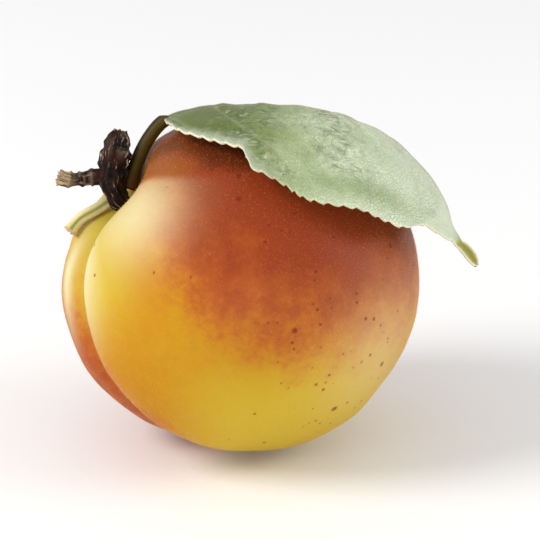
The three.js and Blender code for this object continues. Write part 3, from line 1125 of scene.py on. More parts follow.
@dataclass(frozen=True)
class LeafFinish:
    """Waxy grey-green blade, painted lighter towards its tip, with a fine vein net, a cream toothed
    edge and a paler underside; painted shade and highlights lie in its vein valleys, wrinkles and front
    lip.
    """

    pale_wax_and_sheen: Colour = colour(212, 222, 190)
    green: Colour = colour(134, 155, 86)
    shaded_base_green: Colour = colour(88, 101, 16)
    # valley: painted shade in the vein net's valleys and the wrinkles' creases
    valley: Colour = colour(66, 84, 38)
    vein: Colour = colour(196, 204, 160)
    # lip: painted highlight on the lifted front margin
    lip: Colour = colour(174, 185, 153)
    edge: Colour = colour(238, 234, 200)
    deep_green: Colour = colour(112, 142, 62)
    under: Colour = colour(158, 172, 118)
    blush: Colour = colour(206, 176, 146)
    tip: Colour = colour(150, 146, 46)
    fine_strength: float = 0.12
    net_strength: float = 0.26
    crease_strength: float = 0.36
    fold_strength: float = 0.38
    vein_strength: float = 0.2
    under_vein_strength: float = 0.7
    under_fine_strength: float = 0.3
    midrib_strength: float = 0.6
    crease_level: float = 0.5
    fold_level: float = 0.59
    wrinkle_width: float = 0.06
    relief: float = 0.00022

    def build(self, effects: Effects) -> bpy.types.Material:
        """Builds the material.

        Args:
            effects: Shared shader effects.

        Returns:
            The material.
        """
        material, sheet, shader, place = new_material("leaf_blade")
        plan = sheet.plan()
        patch = sheet.group(effects.mottle, Place=place, Broad=130.0, Fine=1100.0, Contrast=1.3)
        vein = sheet.attribute("vein")
        crease, fold = self.wrinkles(sheet, plan)
        cells = sheet.put(
            "ShaderNodeTexVoronoi", {"Vector": plan, "Scale": 230.0}, feature="DISTANCE_TO_EDGE"
        )
        fine_lines = sheet.ease(cells.outputs["Distance"], 0.12, 0.0)
        # Paler grey-green towards the tip: painted light and sheen over the blade's own grey-green.
        wax_and_light = sheet.math("MULTIPLY_ADD", patch, 0.7, sheet.attribute("wax_and_light"))

        above = sheet.mix(sheet.ease(wax_and_light, 0.25, 1.2), self.green, self.pale_wax_and_sheen)
        above = sheet.tinted(above, (
            # Painted shade: darker olive over the blade's base by the stalk.
            (sheet.attribute("near_stalk"), self.shaded_base_green),
            (sheet.attribute("deep_green"), self.deep_green),
            # Painted shade in the valleys and creases, painted highlight on the folds beside them.
            (sheet.times(fine_lines, self.fine_strength), self.valley),
            (sheet.times(sheet.attribute("net"), self.net_strength), self.valley),
            (sheet.times(crease, self.crease_strength), self.valley),
            (sheet.times(fold, self.fold_strength), self.edge),
            (sheet.times(vein, self.vein_strength), self.vein),
            # Painted highlight on the lifted front margin.
            (sheet.attribute("lip"), self.lip),
            (sheet.times(sheet.attribute("midrib"), self.midrib_strength), self.blush),
        ))
        below = sheet.tinted(self.under, (
            (sheet.times(vein, self.under_vein_strength), self.vein),
            (sheet.times(fine_lines, self.under_fine_strength), self.vein),
        ))
        face = sheet.mix(sheet.attribute("upper"), below, above)
        ends = ((sheet.attribute("tip"), self.tip), (sheet.attribute("edge"), self.edge))
        face = sheet.tinted(face, ends)

        folds = sheet.math("SUBTRACT", fold, crease)
        relief = sheet.math("MULTIPLY_ADD", patch, 0.6, folds)
        relief = sheet.math("MULTIPLY_ADD", fine_lines, -0.3, relief)
        sheet.fill(shader, {
            "Base Color": face,
            "Normal": sheet.bump(relief, self.relief),
            "Roughness": sheet.ease(patch, 0.2, 0.9, 0.34, 0.5),
            "Subsurface Weight": 0.1,
            "Subsurface Radius": (0.5, 1.0, 0.25),
            "Subsurface Scale": 0.001,
            "Sheen Weight": 0.06,
            "Sheen Roughness": 0.5,
            "Specular IOR Level": 0.42,
            "Coat Weight": 0.06,
            "Coat Roughness": 0.35,
        })
        return material

    def wrinkles(self, sheet: Sheet, plan: Value) -> tuple[Value, Value]:
        """Short curly wrinkles in scattered patches.

        Args:
            sheet: Node sheet of the material.
            plan: Place on the flat blade.

        Returns:
            Masks of the creases, which take painted shade, and of the raised folds beside them, which
            take painted highlight.
        """
        slanted = sheet.mapped(plan, Rotation=(0.0, 0.0, 0.6), Scale=(1.0, 0.5, 1.0))
        level = sheet.noise(slanted, 66.0, 1.5, 0.5)
        patches = sheet.ease(sheet.noise(plan, 36.0, 3.0, 0.6), 0.4, 0.62)
        patches = sheet.times(patches, sheet.attribute("wrinkled"))
        masks = []
        for middle in (self.crease_level, self.fold_level):
            away = sheet.math("ABSOLUTE", sheet.math("SUBTRACT", level, middle))
            masks.append(sheet.times(sheet.ease(away, self.wrinkle_width, 0.0), patches))
        return masks[0], masks[1]


@dataclass(frozen=True)
class StalkFinish:
    """Fleshy green stalk with a channel of another colour and a cut or torn end."""

    name: str
    side: Colour
    channel: Colour
    end: Colour
    shine: float
    relief: float = 0.00008

    def build(self, effects: Effects) -> bpy.types.Material:
        """Builds the material.

        Args:
            effects: Shared shader effects.

        Returns:
            The material.
        """
        material, sheet, shader, place = new_material(self.name)
        patch = sheet.group(effects.mottle, Place=place, Broad=300.0, Fine=1600.0, Contrast=1.2)
        base = sheet.mix(sheet.attribute("channel"), self.side, self.channel)
        darker = sheet.mix(0.5, base, self.channel)
        base = sheet.tinted(base, (
            (sheet.times(sheet.ease(patch, 0.3, 0.8), 0.4), darker),
            (sheet.attribute("end"), self.end),
        ))
        sheet.fill(shader, {
            "Base Color": base,
            "Normal": sheet.bump(patch, self.relief),
            "Roughness": sheet.ease(patch, 0.2, 0.8, 0.42, 0.56),
            "Subsurface Weight": 0.15,
            "Subsurface Radius": (1.0, 0.8, 0.3),
            "Subsurface Scale": 0.001,
            "Specular IOR Level": self.shine,
        })
        return material


@dataclass(frozen=True)
class PlainFinish:
    """Small fleshy detail of one colour that varies a little."""

    name: str
    main: Colour
    other: Colour
    roughness: float

    def build(self, effects: Effects) -> bpy.types.Material:
        """Builds the material.

        Args:
            effects: Shared shader effects.

        Returns:
            The material.
        """
        material, sheet, shader, place = new_material(self.name)
        patch = sheet.group(effects.mottle, Place=place, Broad=200.0, Fine=2000.0, Contrast=1.5)
        sheet.fill(shader, {
            "Base Color": sheet.mix(patch, self.main, self.other),
            "Roughness": self.roughness,
        })
        return material


# ---- Pieces ----


def finish_piece(
    thing: bpy.types.Object, material: bpy.types.Material, slot: Slot, *nodes: str
) -> None:
    """Dresses a piece and ties it to the frame.

    Args:
        thing: Finished mesh object.
        material: Its finish.
        slot: Material slot of the record; not used.
        nodes: Solids that it stands for.
    """
    thing.data.materials.clear()
    thing.data.materials.append(material)
    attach(thing, "root")
    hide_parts(*nodes)
    LOG.info("%s: %d faces", thing.name, len(thing.data.polygons))


@dataclass
class Fruit:
    """The fruit's fine skin, pressed flat where it rests."""

    form: FruitForm
    meridians: int = 384
    parallels: int = 240
    pole_crowding: float = 0.1
    groove_crowding: float = 0.6
    swell_height: float = 0.1
    swell_length: float = 11.0
    dimple_height: float = 0.02
    dimple_length: float = 2.6
    wrinkle_count: int = 11
    wrinkle_depth: float = 0.12
    wrinkle_place: float = 4.5
    wrinkle_reach: float = 2.4
    wrinkle_shift: float = 0.7
    sunny_way: Place = (0.22, 0.52, 0.41)
    back_way: Place = (-0.75, -0.6, -0.35)
    back_shade: float = 0.38
    # Places and strengths of the painted highlights on the shoulder, the lower right flank and the
    # knob.
    shoulder_place: Place = (-0.6, 0.4, 0.7)
    shoulder_reach: float = 0.27
    shoulder_highlight: float = 0.82
    flank_place: Place = (0.8, -0.4, 0.44)
    flank_reach: float = 0.38
    flank_highlight: float = 0.38
    knob_highlight: float = 0.5
    left_lemon: float = 0.9
    low_lemon: float = 0.75
    crown_shade_strength: float = 0.8
    least_specks: float = 0.16
    cavity_reach: float = 5.5
    scar_reach: float = 0.9

    def directions(self) -> Array:
        """Unit vectors of the grid's rows and then the two poles.

        Returns:
            One unit vector a vertex.
        """
        share = np.arange(1, self.parallels) / self.parallels
        polar = math.pi * (share - self.pole_crowding * np.sin(2.0 * math.pi * share))
        turn = np.arange(self.meridians) / self.meridians * 2.0 * math.pi
        around = turn - self.groove_crowding * np.sin(turn)
        rows = self.form.directions(polar[:, None] + 0.0 * around, around + 0.0 * polar[:, None])
        poles = np.stack([self.form.stem_axis, -self.form.stem_axis])
        return np.vstack([rows.reshape(-1, 3), poles])

    def relief(self, directions: Array) -> Array:
        """Small rises and hollows of the living skin, in millimetres.

        Args:
            directions: Unit vectors, one row each.

        Returns:
            One height a direction.
        """
        places = directions * self.form.stem_radius
        _, stem_share, suture_share, cheek_share = self.form.shares(directions)
        swells = self.swell_height * ripple(places, self.swell_length, seed=11)
        dimples = self.dimple_height * ripple(places, self.dimple_length, seed=12)
        from_axis = self.form.suture_radius * np.hypot(suture_share, cheek_share)
        azimuth = np.arctan2(cheek_share, suture_share)
        ring = bell(from_axis - self.wrinkle_place, self.wrinkle_reach) * (stem_share > 0.0)
        wave = self.wrinkle_count * azimuth + self.wrinkle_shift * np.sin(2.0 * azimuth)
        return swells + dimples + self.wrinkle_depth * ring * np.cos(wave)

    def faces(self) -> list[tuple[int, ...]]:
        """Faces of the grid and its poles, turned over because its sides run the other way."""
        return [(face[0], *face[:0:-1]) for face in closed_faces(self.parallels - 1, self.meridians)]

    def build(self, stance: Stance, material: bpy.types.Material) -> bpy.types.Object:
        """Builds the dressed skin.

        Args:
            stance: Where the construction frame stands.
            material: The skin's finish.

        Returns:
            The piece.
        """
        directions = self.directions()
        radius = self.form.radius(directions) + self.relief(directions)
        points = stance.place(directions * radius[:, None])
        points[:, 2] = np.maximum(points[:, 2], 0.0)
        thing = make_object("fruit_skin", points, self.faces())
        keep_fields(thing, self.fields(directions))
        finish_piece(thing, material, Slot.SKIN, "fruit")
        return thing

    def fields(self, directions: Array) -> dict[str, Array]:
        """Where the blush with its painted shade, the yellow cheek, the painted highlights, the specks,
        the cavity and the tip scar lie.

        Args:
            directions: Unit vectors, one row each.

        Returns:
            The fields by name, one number a direction.
        """
        _, stem_share, suture_share, cheek_share = self.form.shares(directions)
        across = self.form.cheek_radius * cheek_share
        from_axis = self.form.suture_radius * np.hypot(suture_share, cheek_share)
        right, high, front = directions.T
        sunny = directions @ np.array(self.sunny_way) - 0.5 * np.maximum(0.0, -right - 0.26)
        # Painted shade: the crown under the leaf is darkened as if shaded by a neighbouring fruit,
        # browner on its front left; behind, it blends into a deeper blush of the top.
        behind = smoothstep(-front, -0.5, 0.3)
        uneven = 0.05 * ripple(directions, 0.6, seed=13)
        capped = smoothstep(high - 0.28 * behind + uneven * behind, 0.565, 0.64)
        capped = blend(capped, smoothstep(high + uneven, 0.3, 0.9), behind)
        inward = smoothstep(right, -0.42, -0.16)
        higher = smoothstep(high, 0.64, 0.8)
        inner = 0.6 + 0.35 * smoothstep(high, 0.52, 0.74)
        crown = capped * blend(blend(0.46, 0.86, higher), inner, inward)
        # Painted shade: deeper orange on the lower left back, over the far lobe.
        back = self.back_shade * smoothstep(directions @ unit(np.array(self.back_way)), 0.45, 0.95)
        # The blush field joins the real blush with the painted shade of the crown and of the back.
        blush = np.maximum(np.maximum(sunny, crown), back)
        at_left = smoothstep(-right, 0.48, 0.8) * smoothstep(high, -0.45, 0.0)
        # Less lemon at the far left edge: painted shade.
        at_left = at_left * (1.0 - 0.6 * smoothstep(-right, 0.93, 0.99))
        # Yellower towards the bottom: partly the fruit's own colour, partly painted bounce light from
        # the white floor.
        below = smoothstep(-high, 0.28, 0.75) * smoothstep(right, -0.5, 0.0)
        # Painted highlights: cream on the lobes beside the groove, the upper left shoulder, the lower
        # right flank and the knob, where the lights fall.
        beside_groove = smoothstep(suture_share, 0.15, 0.5) * smoothstep(high, -0.5, 0.1)
        lobes = np.maximum(bell(across - 4.2, 3.3), bell(across + 4.4, 1.4)) * beside_groove
        shoulder, flank = (
            bell(np.linalg.norm(directions - unit(np.array(place)), axis=-1), width)
            for place, width in (
                (self.shoulder_place, self.shoulder_reach),
                (self.flank_place, self.flank_reach),
            )
        )
        painted_highlight = np.maximum(lobes, self.shoulder_highlight * shoulder) * fall(high, 0.56, 0.625)
        painted_highlight = np.maximum(painted_highlight, self.flank_highlight * flank)
        painted_highlight = np.maximum(painted_highlight, self.knob_highlight * bell(self.form.from_knob(directions), 2.0))
        return {
            "blush": blush,
            "lemon": np.maximum(self.left_lemon * at_left, self.low_lemon * below),
            # Painted shade: tan-brown on the front of the crown.
            "tan": self.crown_shade_strength * capped * (1.0 - behind) * (1.0 - inward) * (1.0 - 0.8 * higher),
            "painted_highlight": painted_highlight,
            "speck_share": blend(self.least_specks, 1.0, smoothstep(right, -0.1, 0.5)),
            "cavity": (stem_share > 0.0) * bell(from_axis, self.cavity_reach),
            "tip_scar": (stem_share < 0.0) * bell(from_axis, self.scar_reach),
        }


@dataclass
class Spur:
    """Woody fruiting spur with its ringed side stub."""

    main_places: tuple[Place, ...] = (
        (-14.85, 9.65, 4.6), (-16.2, 11.1, 5.0), (-16.9, 13.2, 4.9), (-16.7, 16.4, 4.3),
        (-16.0, 19.8, 3.5),
    )
    side_places: tuple[Place, ...] = (
        (-16.8, 13.6, 4.4), (-19.6, 13.7, 4.6), (-22.0, 13.3, 4.9), (-24.0, 13.7, 5.1),
    )
    foot_radius: float = 1.05
    top_radius: float = 1.75
    top_taper: float = 0.16
    top_closing: float = 0.5
    side_radius: float = 1.0
    side_taper: float = 0.25
    scars: int = 7
    side_scars: int = 5
    scar_height: float = 0.1
    side_scar_height: float = 0.22
    knob_height: float = 0.3
    under_bark: float = 0.97
    lump_height: float = 0.16
    fibre_height: float = 0.12
    strand_height: float = 0.05

    def main_radius(self, along: Array, angle: Array) -> Array:
        """Bark radius of the spur, one number for each ring and side.

        Args:
            along: Share along of each ring.
            angle: Angle of each side of a ring.

        Returns:
            One number for each ring and side.
        """
        taper = blend(self.foot_radius, self.top_radius, smoothstep(along, 0.0, 0.45))
        taper = taper * (1.0 - self.top_taper * smoothstep(along, 0.7, 1.0))
        taper = taper * (1.0 - self.top_closing * smoothstep(along, 0.88, 1.0) ** 2)
        ridges = 0.07 * np.cos(5.0 * angle + 3.0 * along) + 0.04 * np.cos(9.0 * angle - 7.0 * along)
        scars = self.scar_height * np.cos(math.pi * self.scars * along) ** 4
        return taper * (self.under_bark + ridges + scars + self.knob_height * self.knob(along, angle))

    def knob(self, along: Array, angle: Array) -> Array:
        """Old bud scar on the right of the spur's upper part, 1 at its middle."""
        return bell(along - 0.72, 0.09) * bell(np.sin((angle - 1.0) / 2.0), 0.45)

    def pale_scar(self, along: Array, angle: Array) -> Array:
        """Weathered part of the spur, just beyond its bud scar."""
        return self.knob(along - 0.08, angle)

    def pale_rings(self, along: Array, angle: Array) -> Array:
        """Pale ring scars of the side stub's outer half, painted highlight on the raised rings."""
        rings = np.cos(math.pi * self.side_scars * along) ** 2
        return smoothstep(along, 0.3, 0.6) * rings + 0.0 * angle

    def side_stub_radius(self, along: Array, angle: Array) -> Array:
        """Bark radius of the side stub, one number for each ring and side.

        Args:
            along: Share along of each ring.
            angle: Angle of each side of a ring.

        Returns:
            One number for each ring and side.
        """
        scars = self.side_scar_height * np.cos(math.pi * self.side_scars * along) ** 6
        ridges = 0.06 * np.cos(4.0 * angle)
        return self.side_radius * (self.under_bark - self.side_taper * along + scars + ridges)

    def bark(self, tube: Tube, seed: int) -> Array:
        """Height of the bark's lumps, fibres and thin strands, one number for each ring and side.

        Args:
            tube: Tube that the bark lies on.
            seed: Seed of the first of three patterns.

        Returns:
            One number for each ring and side.
        """
        lumps = tube.strands(1.6, 1.3, seed)
        fibres = tube.strands(4.5, 0.7, seed + 1, waves=36)
        strands = tube.strands(7.0, 0.32, seed + 2, waves=48)
        return self.lump_height * lumps + self.fibre_height * fibres + self.strand_height * strands

    def build(self, stance: Stance, material: bpy.types.Material) -> bpy.types.Object:
        """Builds the dressed spur.

        Args:
            stance: Where the construction frame stands.
            material: Its finish.

        Returns:
            The piece.
        """
        main_tube = Tube(Course(self.main_places), rings=220, sides=96)
        side_tube = Tube(Course(self.side_places), rings=140, sides=64, reference=(0.0, 1.0, 0.0))
        points, faces = [], []
        fields = {name: [] for name in ("ridge", "broken", "wear_and_highlight", "round", "length")}
        start = 0
        for tube, smooth_radius, pale_part, seed, torn, splinter in (
            (main_tube, self.main_radius, self.pale_scar, 21, 0.985, 0.25),
            (side_tube, self.side_stub_radius, self.pale_rings, 31, 0.62, 0.35),
        ):
            along, angle = tube.grid
            bark = self.bark(tube, seed)
            radius = smooth_radius(along, angle) + bark
            ragged = splinter * ripple(tube.bark_places(1.0)[-1], 0.9, seed + 3)
            piece, quads = tube.build(radius, ragged=ragged, hollow=0.2)
            points.append(piece)
            faces += [tuple(corner + start for corner in quad) for quad in quads]
            start += len(piece)
            broken = smoothstep(along + 0.0 * radius, torn, 1.0)
            wear_and_highlight = pale_part(along, angle) + 0.0 * radius
            for name, values, ends in (
                ("ridge", np.clip(bark * 3.0 + 0.5, 0.0, 1.0), (0.0, 0.0)),
                ("broken", broken, (0.0, 0.4)),
                ("wear_and_highlight", wear_and_highlight, (0.0, 0.0)),
                ("round", 1.6 * angle + 0.0 * radius, (0.0, 0.0)),
                ("length", along * tube.course.length + 0.0 * radius, (0.0, tube.course.length)),
            ):
                fields[name].append(np.append(values.ravel(), ends))
        thing = make_object("spur_bark", stance.place(np.vstack(points)), faces)
        joined = {name: np.concatenate(values) for name, values in fields.items()}
        keep_plan(thing, joined.pop("round"), joined.pop("length"))
        keep_fields(thing, joined)
        finish_piece(thing, material, Slot.BARK, "spur")
        return thing


@dataclass
class StalkStump:
    """Short cut stalk that lies on the back half's shoulder."""

    form: FruitForm
    places: tuple[Place, ...] = (
        (-17.6, 11.4, 2.0), (-19.4, 9.8, 1.9), (-20.8, 8.0, 2.1), (-21.9, 6.3, 2.4),
    )
    radius: float = 0.85
    gap: float = 0.3
    waist: float = 0.92
    channel_depth: float = 0.25
    channel_width: float = 0.35
    pale_width: float = 0.2
    end_flare: float = 0.12
    strand_height: float = 0.02
    splinter: float = 0.1
    end_hollow: float = 0.15

    def build(self, stance: Stance, material: bpy.types.Material) -> bpy.types.Object:
        """Builds the dressed stump.

        Args:
            stance: Where the construction frame stands.
            material: Its finish.

        Returns:
            The piece.
        """
        directions = unit(np.array(self.places))
        lying = directions * (self.form.radius(directions) + self.radius + 2.0 * self.gap)[:, None]
        tube = Tube(Course(tuple(map(tuple, lying))), rings=90, sides=56)
        along, angle = tube.grid
        channel = bell(np.sin(angle / 2.0), self.channel_width) + 0.0 * along
        flare = self.end_flare * smoothstep(along, 0.8, 1.0)
        strands = self.strand_height * tube.strands(8.0, 0.5, seed=51)
        radius = self.radius * (self.waist - self.channel_depth * channel + flare) + strands
        ragged = self.splinter * ripple(tube.bark_places(1.0)[-1], 0.8, seed=52)
        points, faces = tube.build(radius, ragged=ragged, hollow=self.end_hollow)
        thing = make_object("stump_stalk", stance.place(points), faces)
        keep_fields(thing, {
            "channel": np.append(bell(np.sin(angle / 2.0), self.pale_width) + 0.0 * along, [0.5, 0.5]),
            "end": np.append(smoothstep(along + 0.0 * angle, 0.95, 1.0), [0.0, 1.0]),
        })
        finish_piece(thing, material, Slot.STALK, "stalk_stump")
        return thing


@dataclass
class Leaf:
    """Leaf draped over the fruit: blade with veins and teeth, and its stalk with the rib below."""

    form: FruitForm
    places: tuple[Place, ...] = (
        (-14.8, 12.0, 3.5), (-13.5, 15.5, 3.6), (-12.0, 18.7, 3.7), (-10.3, 21.0, 3.8),
        (-7.9, 22.0, 4.5), (-3.8, 22.7, 5.9), (3.8, 22.9, 7.6), (10.2, 22.3, 8.4), (15.9, 20.4, 8.6),
        (20.0, 18.2, 8.2), (23.2, 15.2, 7.2), (25.9, 11.6, 6.0), (28.0, 6.4, 4.8), (31.0, 2.0, 3.6),
    )
    gap: float = 0.3
    solid_thickness: float = 0.6
    thickness: float = 0.4
    blade_start: float = 0.17
    blade_end: float = 0.925
    stalk_radius: float = 1.0
    stalk_waist: float = 0.97
    stalk_foot: float = 0.22
    foot_tuck: float = 0.5
    channel_turn: float = 0.6
    channel_width: float = 0.28
    channel_depth: float = 0.3
    strand_height: float = 0.015
    rib_end_radius: float = 0.35
    half_width: float = 17.6
    tip_half_width: float = 0.95
    tip_slimming: float = 0.2
    run_start: float = 0.87
    run_end: float = 0.935
    run_width: float = 5.0
    pinch_place: float = 0.915
    pinch_reach: float = 0.026
    pinch_share: float = 0.8
    peak: float = 0.5
    base_power: float = 0.72
    tip_power: float = 0.7
    roll: float = math.radians(18.0)
    front_keel: float = math.radians(18.0)
    front_curl: float = math.radians(2.5)
    back_keel: float = math.radians(5.0)
    back_curl: float = math.radians(1.6)
    twist_start: float = 0.9
    twist_end: float = 0.945
    tip_roll: float = math.radians(-50.0)
    tip_keel: float = math.radians(-24.0)
    teeth: int = 28
    tooth_crowding: float = 0.25
    tooth_depth: float = 0.34
    tooth_point: float = 0.75
    bite_place: float = 0.25
    bite_reach: float = 0.22
    bite_steepness: float = 0.035
    bite_depth: float = 2.7
    waves: float = 3.5
    wave_height: float = 0.45
    lip_height: float = 0.8
    lip_width: float = 2.7
    lip_width_base: float = 1.3
    stations: int = 400
    columns: int = 56
    vein_spacing: float = 6.2
    vein_slope: float = 0.75
    vein_bend: float = 0.02
    edge_width: float = 0.25
    edge_thinning: float = 0.3
    rib_green: float = 0.6
    margin_green: float = 0.62
    stalk_shade: float = 0.9
    mesh_size: float = 1.55
    mesh_jitter: float = 0.42
    mesh_depth: float = 0.05
    quilt_height: float = 0.035
    vein_depth: float = 0.05
    pucker_height: float = 0.1
    blister_height: float = 0.07
    ridge_height: float = 0.1
    under_vein_height: float = 0.1
    gland_radius: float = 0.11

    @cached_property
    def midrib(self) -> Course:
        """Course of the stalk and midrib, clear of the skin."""
        lifted = self.form.lift_off(np.array(self.places), self.stalk_radius + self.gap)
        return Course(tuple(map(tuple, lifted)))

    def midrib_frame(self, along: Array) -> tuple[Array, Array, Array]:
        """Centre, up and front directions at shares of the midrib's length.

        Args:
            along: Shares of the midrib's length.

        Returns:
            Centres, up directions and front directions.
        """
        centre = self.midrib.at(along)
        tangent = self.midrib.tangent(along)
        up = unit(centre)
        up = unit(up - np.sum(up * tangent, axis=-1, keepdims=True) * tangent)
        twist = self.twist((along - self.blade_start) / (1.0 - self.blade_start))
        up = turn_about(up, tangent, -blend(self.roll, self.tip_roll, twist))
        return centre, up, np.cross(tangent, up)

    def twist(self, length: Array) -> Array:
        """How far the blade has twisted into its tip."""
        return smoothstep(length, self.twist_start, self.twist_end)

    def breadth(self, length: Array) -> Array:
        """Half-width of the blade without teeth.

        Args:
            length: Shares of the blade's length.

        Returns:
            One half-width a share.
        """
        broad = np.minimum(1.0, length * (1.0 - self.blade_start) / (self.blade_end - self.blade_start))
        rising = (broad / self.peak) ** self.base_power
        falling = ((1.0 - broad) / (1.0 - self.peak)) ** self.tip_power
        slimming = self.tip_slimming * smoothstep(length, self.run_end, 1.0)
        return blend(self.tip_half_width, self.half_width, rising * falling) - slimming

    def tooth(self, length: Array) -> Array:
        """How far the teeth stand out.

        Args:
            length: Shares of the blade's length.

        Returns:
            One distance a share.
        """
        phase = (self.teeth * length * (1.0 + self.tooth_crowding * (1.0 - length))) % 1.0
        rising = np.sin(phase / self.tooth_point * math.pi / 2.0)
        falling = (1.0 - phase) / (1.0 - self.tooth_point)
        size = np.minimum(1.0, 3.0 * self.breadth(length) / self.half_width)
        return self.tooth_depth * size * np.where(phase < self.tooth_point, rising, falling)

    def bite(self, length: Array) -> Array:
        """How far the front margin is eaten back.

        Args:
            length: Shares of the blade's length.

        Returns:
            One distance a share.
        """
        rising = smoothstep(length, self.bite_place - self.bite_reach, self.bite_place)
        falling = fall(length, self.bite_place, self.bite_place + self.bite_steepness)
        return self.bite_depth * rising * falling

    def reach(self, length: Array, to_front: Array) -> Array:
        """Distance from the midrib to the toothed margin on each side.

        Args:
            length: Shares of the blade's length.
            to_front: Whether each grid point lies on the front side.

        Returns:
            One distance for each grid point.
        """
        rounding = np.sqrt(1.0 - 0.96 * np.clip((length - 0.97) / 0.03, 0.0, 1.0) ** 2)
        margin = (self.breadth(length) + self.tooth(length)) * rounding
        toward_tip = (self.run_end - length) / (self.run_end - self.run_start)
        run = blend(self.tip_half_width, self.run_width, toward_tip)
        front = np.maximum(margin - self.bite(length), run * (toward_tip > 0.0) * (toward_tip < 1.0))
        back = margin * (1.0 - self.pinch_share * bell(length - self.pinch_place, self.pinch_reach))
        return np.where(to_front, front, back)

    def sheet(self, length: Array, offset: Array) -> Array:
        """Points of the blade's middle sheet.

        Args:
            length: Share of the blade's length of each grid point.
            offset: Distance across it of each grid point, positive to the front.

        Returns:
            Points with the grid's shape.
        """
        centre, up, side = self.midrib_frame(self.blade_start + (1.0 - self.blade_start) * length)
        keel = np.where(offset > 0.0, self.front_keel, self.back_keel)
        keel = blend(keel, self.tip_keel, self.twist(length))
        curl = np.where(offset > 0.0, self.front_curl, self.back_curl)
        reach = np.abs(offset)
        sideways = (np.sin(keel + curl * reach) - np.sin(keel)) / curl
        drop = (np.cos(keel) - np.cos(keel + curl * reach)) / curl
        phase = 2.0 * math.pi * self.waves * length + np.sign(offset)
        wave = self.wave_height * np.sin(phase) * (reach / self.half_width) ** 2
        points = centre + (np.sign(offset) * sideways)[..., None] * side + (wave - drop)[..., None] * up
        return self.form.lift_off(points, self.solid_thickness / 2.0 + 2.0 * self.gap)

    def plan(self) -> tuple[Array, Array, Array]:
        """The blade's flat grid.

        Returns:
            Length share, offset and distance to the margin of each grid point.
        """
        length = np.linspace(0.0, 1.0, self.stations + 1)[:, None]
        step = np.linspace(-1.0, 1.0, 2 * self.columns + 1)[None, :]
        share = np.sign(step) * (1.0 - (1.0 - np.abs(step)) ** 1.4)
        reach = self.reach(length, step > 0.0)
        return length + 0.0 * step, reach * share, reach * (1.0 - np.abs(share))

    def side_veins(self, length_mm: Array, offset: Array) -> tuple[Array, Array]:
        """Curved side veins.

        Args:
            length_mm: Distance along the midrib.
            offset: Distance across it.

        Returns:
            Distance to the nearest side vein in millimetres, and the phase between veins.
        """
        reach = np.abs(offset)
        lag = np.where(offset > 0.0, 0.0, 0.45)
        run = length_mm - self.vein_slope * reach - self.vein_bend * reach**2
        phase = run / self.vein_spacing + lag + 0.12 * np.sin(0.9 * run + offset * 0.3)
        nearest = np.abs(phase - np.round(phase)) * self.vein_spacing
        return nearest * 0.8, phase

    def vein_net(self, length_mm: Array, offset: Array) -> Array:
        """Valleys of the fine vein net between small blisters.

        Args:
            length_mm: Distance along the midrib.
            offset: Distance across it.

        Returns:
            1 in a valley, 0 on a blister.
        """
        flat = np.stack([offset, length_mm, 0.0 * offset], axis=-1).reshape(-1, 3)
        bent = flat + 0.45 * np.stack([ripple(flat, 3.0, seed) for seed in (42, 43, 44)], axis=-1)
        random = np.random.default_rng(45)
        span = np.ptp(flat, axis=0) / self.mesh_size
        across, along = np.meshgrid(np.arange(-2, span[0] + 2), np.arange(-2, span[1] + 2))
        corners = np.stack([across.ravel(), along.ravel()], axis=-1)
        corners = corners + random.uniform(-self.mesh_jitter, self.mesh_jitter, corners.shape)
        corners = corners * self.mesh_size + flat.min(axis=0)[:2]
        tree = KDTree(len(corners))
        for index, corner in enumerate(corners):
            tree.insert((corner[0], corner[1], 0.0), index)
        tree.balance()
        gap = np.empty(len(bent))
        for index, spot in enumerate(bent):
            near, far = tree.find_n((spot[0], spot[1], 0.0), 2)
            gap[index] = far[2] - near[2]
        return bell(gap, 0.3).reshape(offset.shape)

    @cached_property
    def layers(self) -> tuple[Array, Array, dict[str, Array]]:
        """Grid points of the blade's upper and lower faces, and its finish fields.

        Returns:
            Points of the upper face, points of the lower face, and the fields by name.
        """
        length, offset, to_margin = self.plan()
        middle = self.sheet(length, offset)
        normal = unit(np.cross(np.gradient(middle, axis=1), np.gradient(middle, axis=0)))
        length_mm = length * self.midrib.length * (1.0 - self.blade_start)
        distance, phase = self.side_veins(length_mm, offset)
        reach = np.abs(offset)
        flat = np.stack([offset, length_mm, 0.0 * offset], axis=-1).reshape(-1, 3)
        inside = smoothstep(to_margin, 0.2, 2.6)
        on_blade = fall(length, 0.88, 0.93)
        vein = bell(distance, 0.4) * smoothstep(reach, 0.0, 0.8) * smoothstep(to_margin, 0.0, 2.5)
        quilt = (0.5 - 0.5 * np.cos(2.0 * math.pi * phase)) * inside * smoothstep(reach, 0.4, 2.5)
        rough_zone = smoothstep(ripple(flat, 9.0, seed=46).reshape(offset.shape), -0.6, 0.5)
        rough_zone = rough_zone * (1.0 - 0.75 * smoothstep(length, 0.5, 0.72))
        rough_zone = rough_zone * smoothstep(length, 0.04, 0.2)
        puckers = ripple(flat, 3.6, seed=41).reshape(offset.shape) * inside
        blisters = ripple(flat, 2.0, seed=47).reshape(offset.shape) * inside * rough_zone
        net = self.vein_net(length_mm, offset) * inside * rough_zone
        to_front = offset > 0.0
        lip_width = blend(self.lip_width_base, self.lip_width, smoothstep(length, 0.0, 0.2))
        lip_zone = fall(length, 0.27, 0.36) * to_front
        lip = fall(to_margin, 0.0, lip_width)
        relief = self.quilt_height * quilt - self.vein_depth * bell(distance, 0.6) * inside
        relief = relief - self.mesh_depth * net
        relief = relief + self.pucker_height * puckers + self.blister_height * blisters
        relief = relief + self.lip_height * lip_zone * lip * smoothstep(length, 0.0, 0.06)
        half = blend(1.0 - self.edge_thinning, 1.0, smoothstep(to_margin, 0.0, 0.7))
        half = self.thickness / 2.0 * half
        ridge = self.ridge_height * bell(reach, 0.4) * on_blade
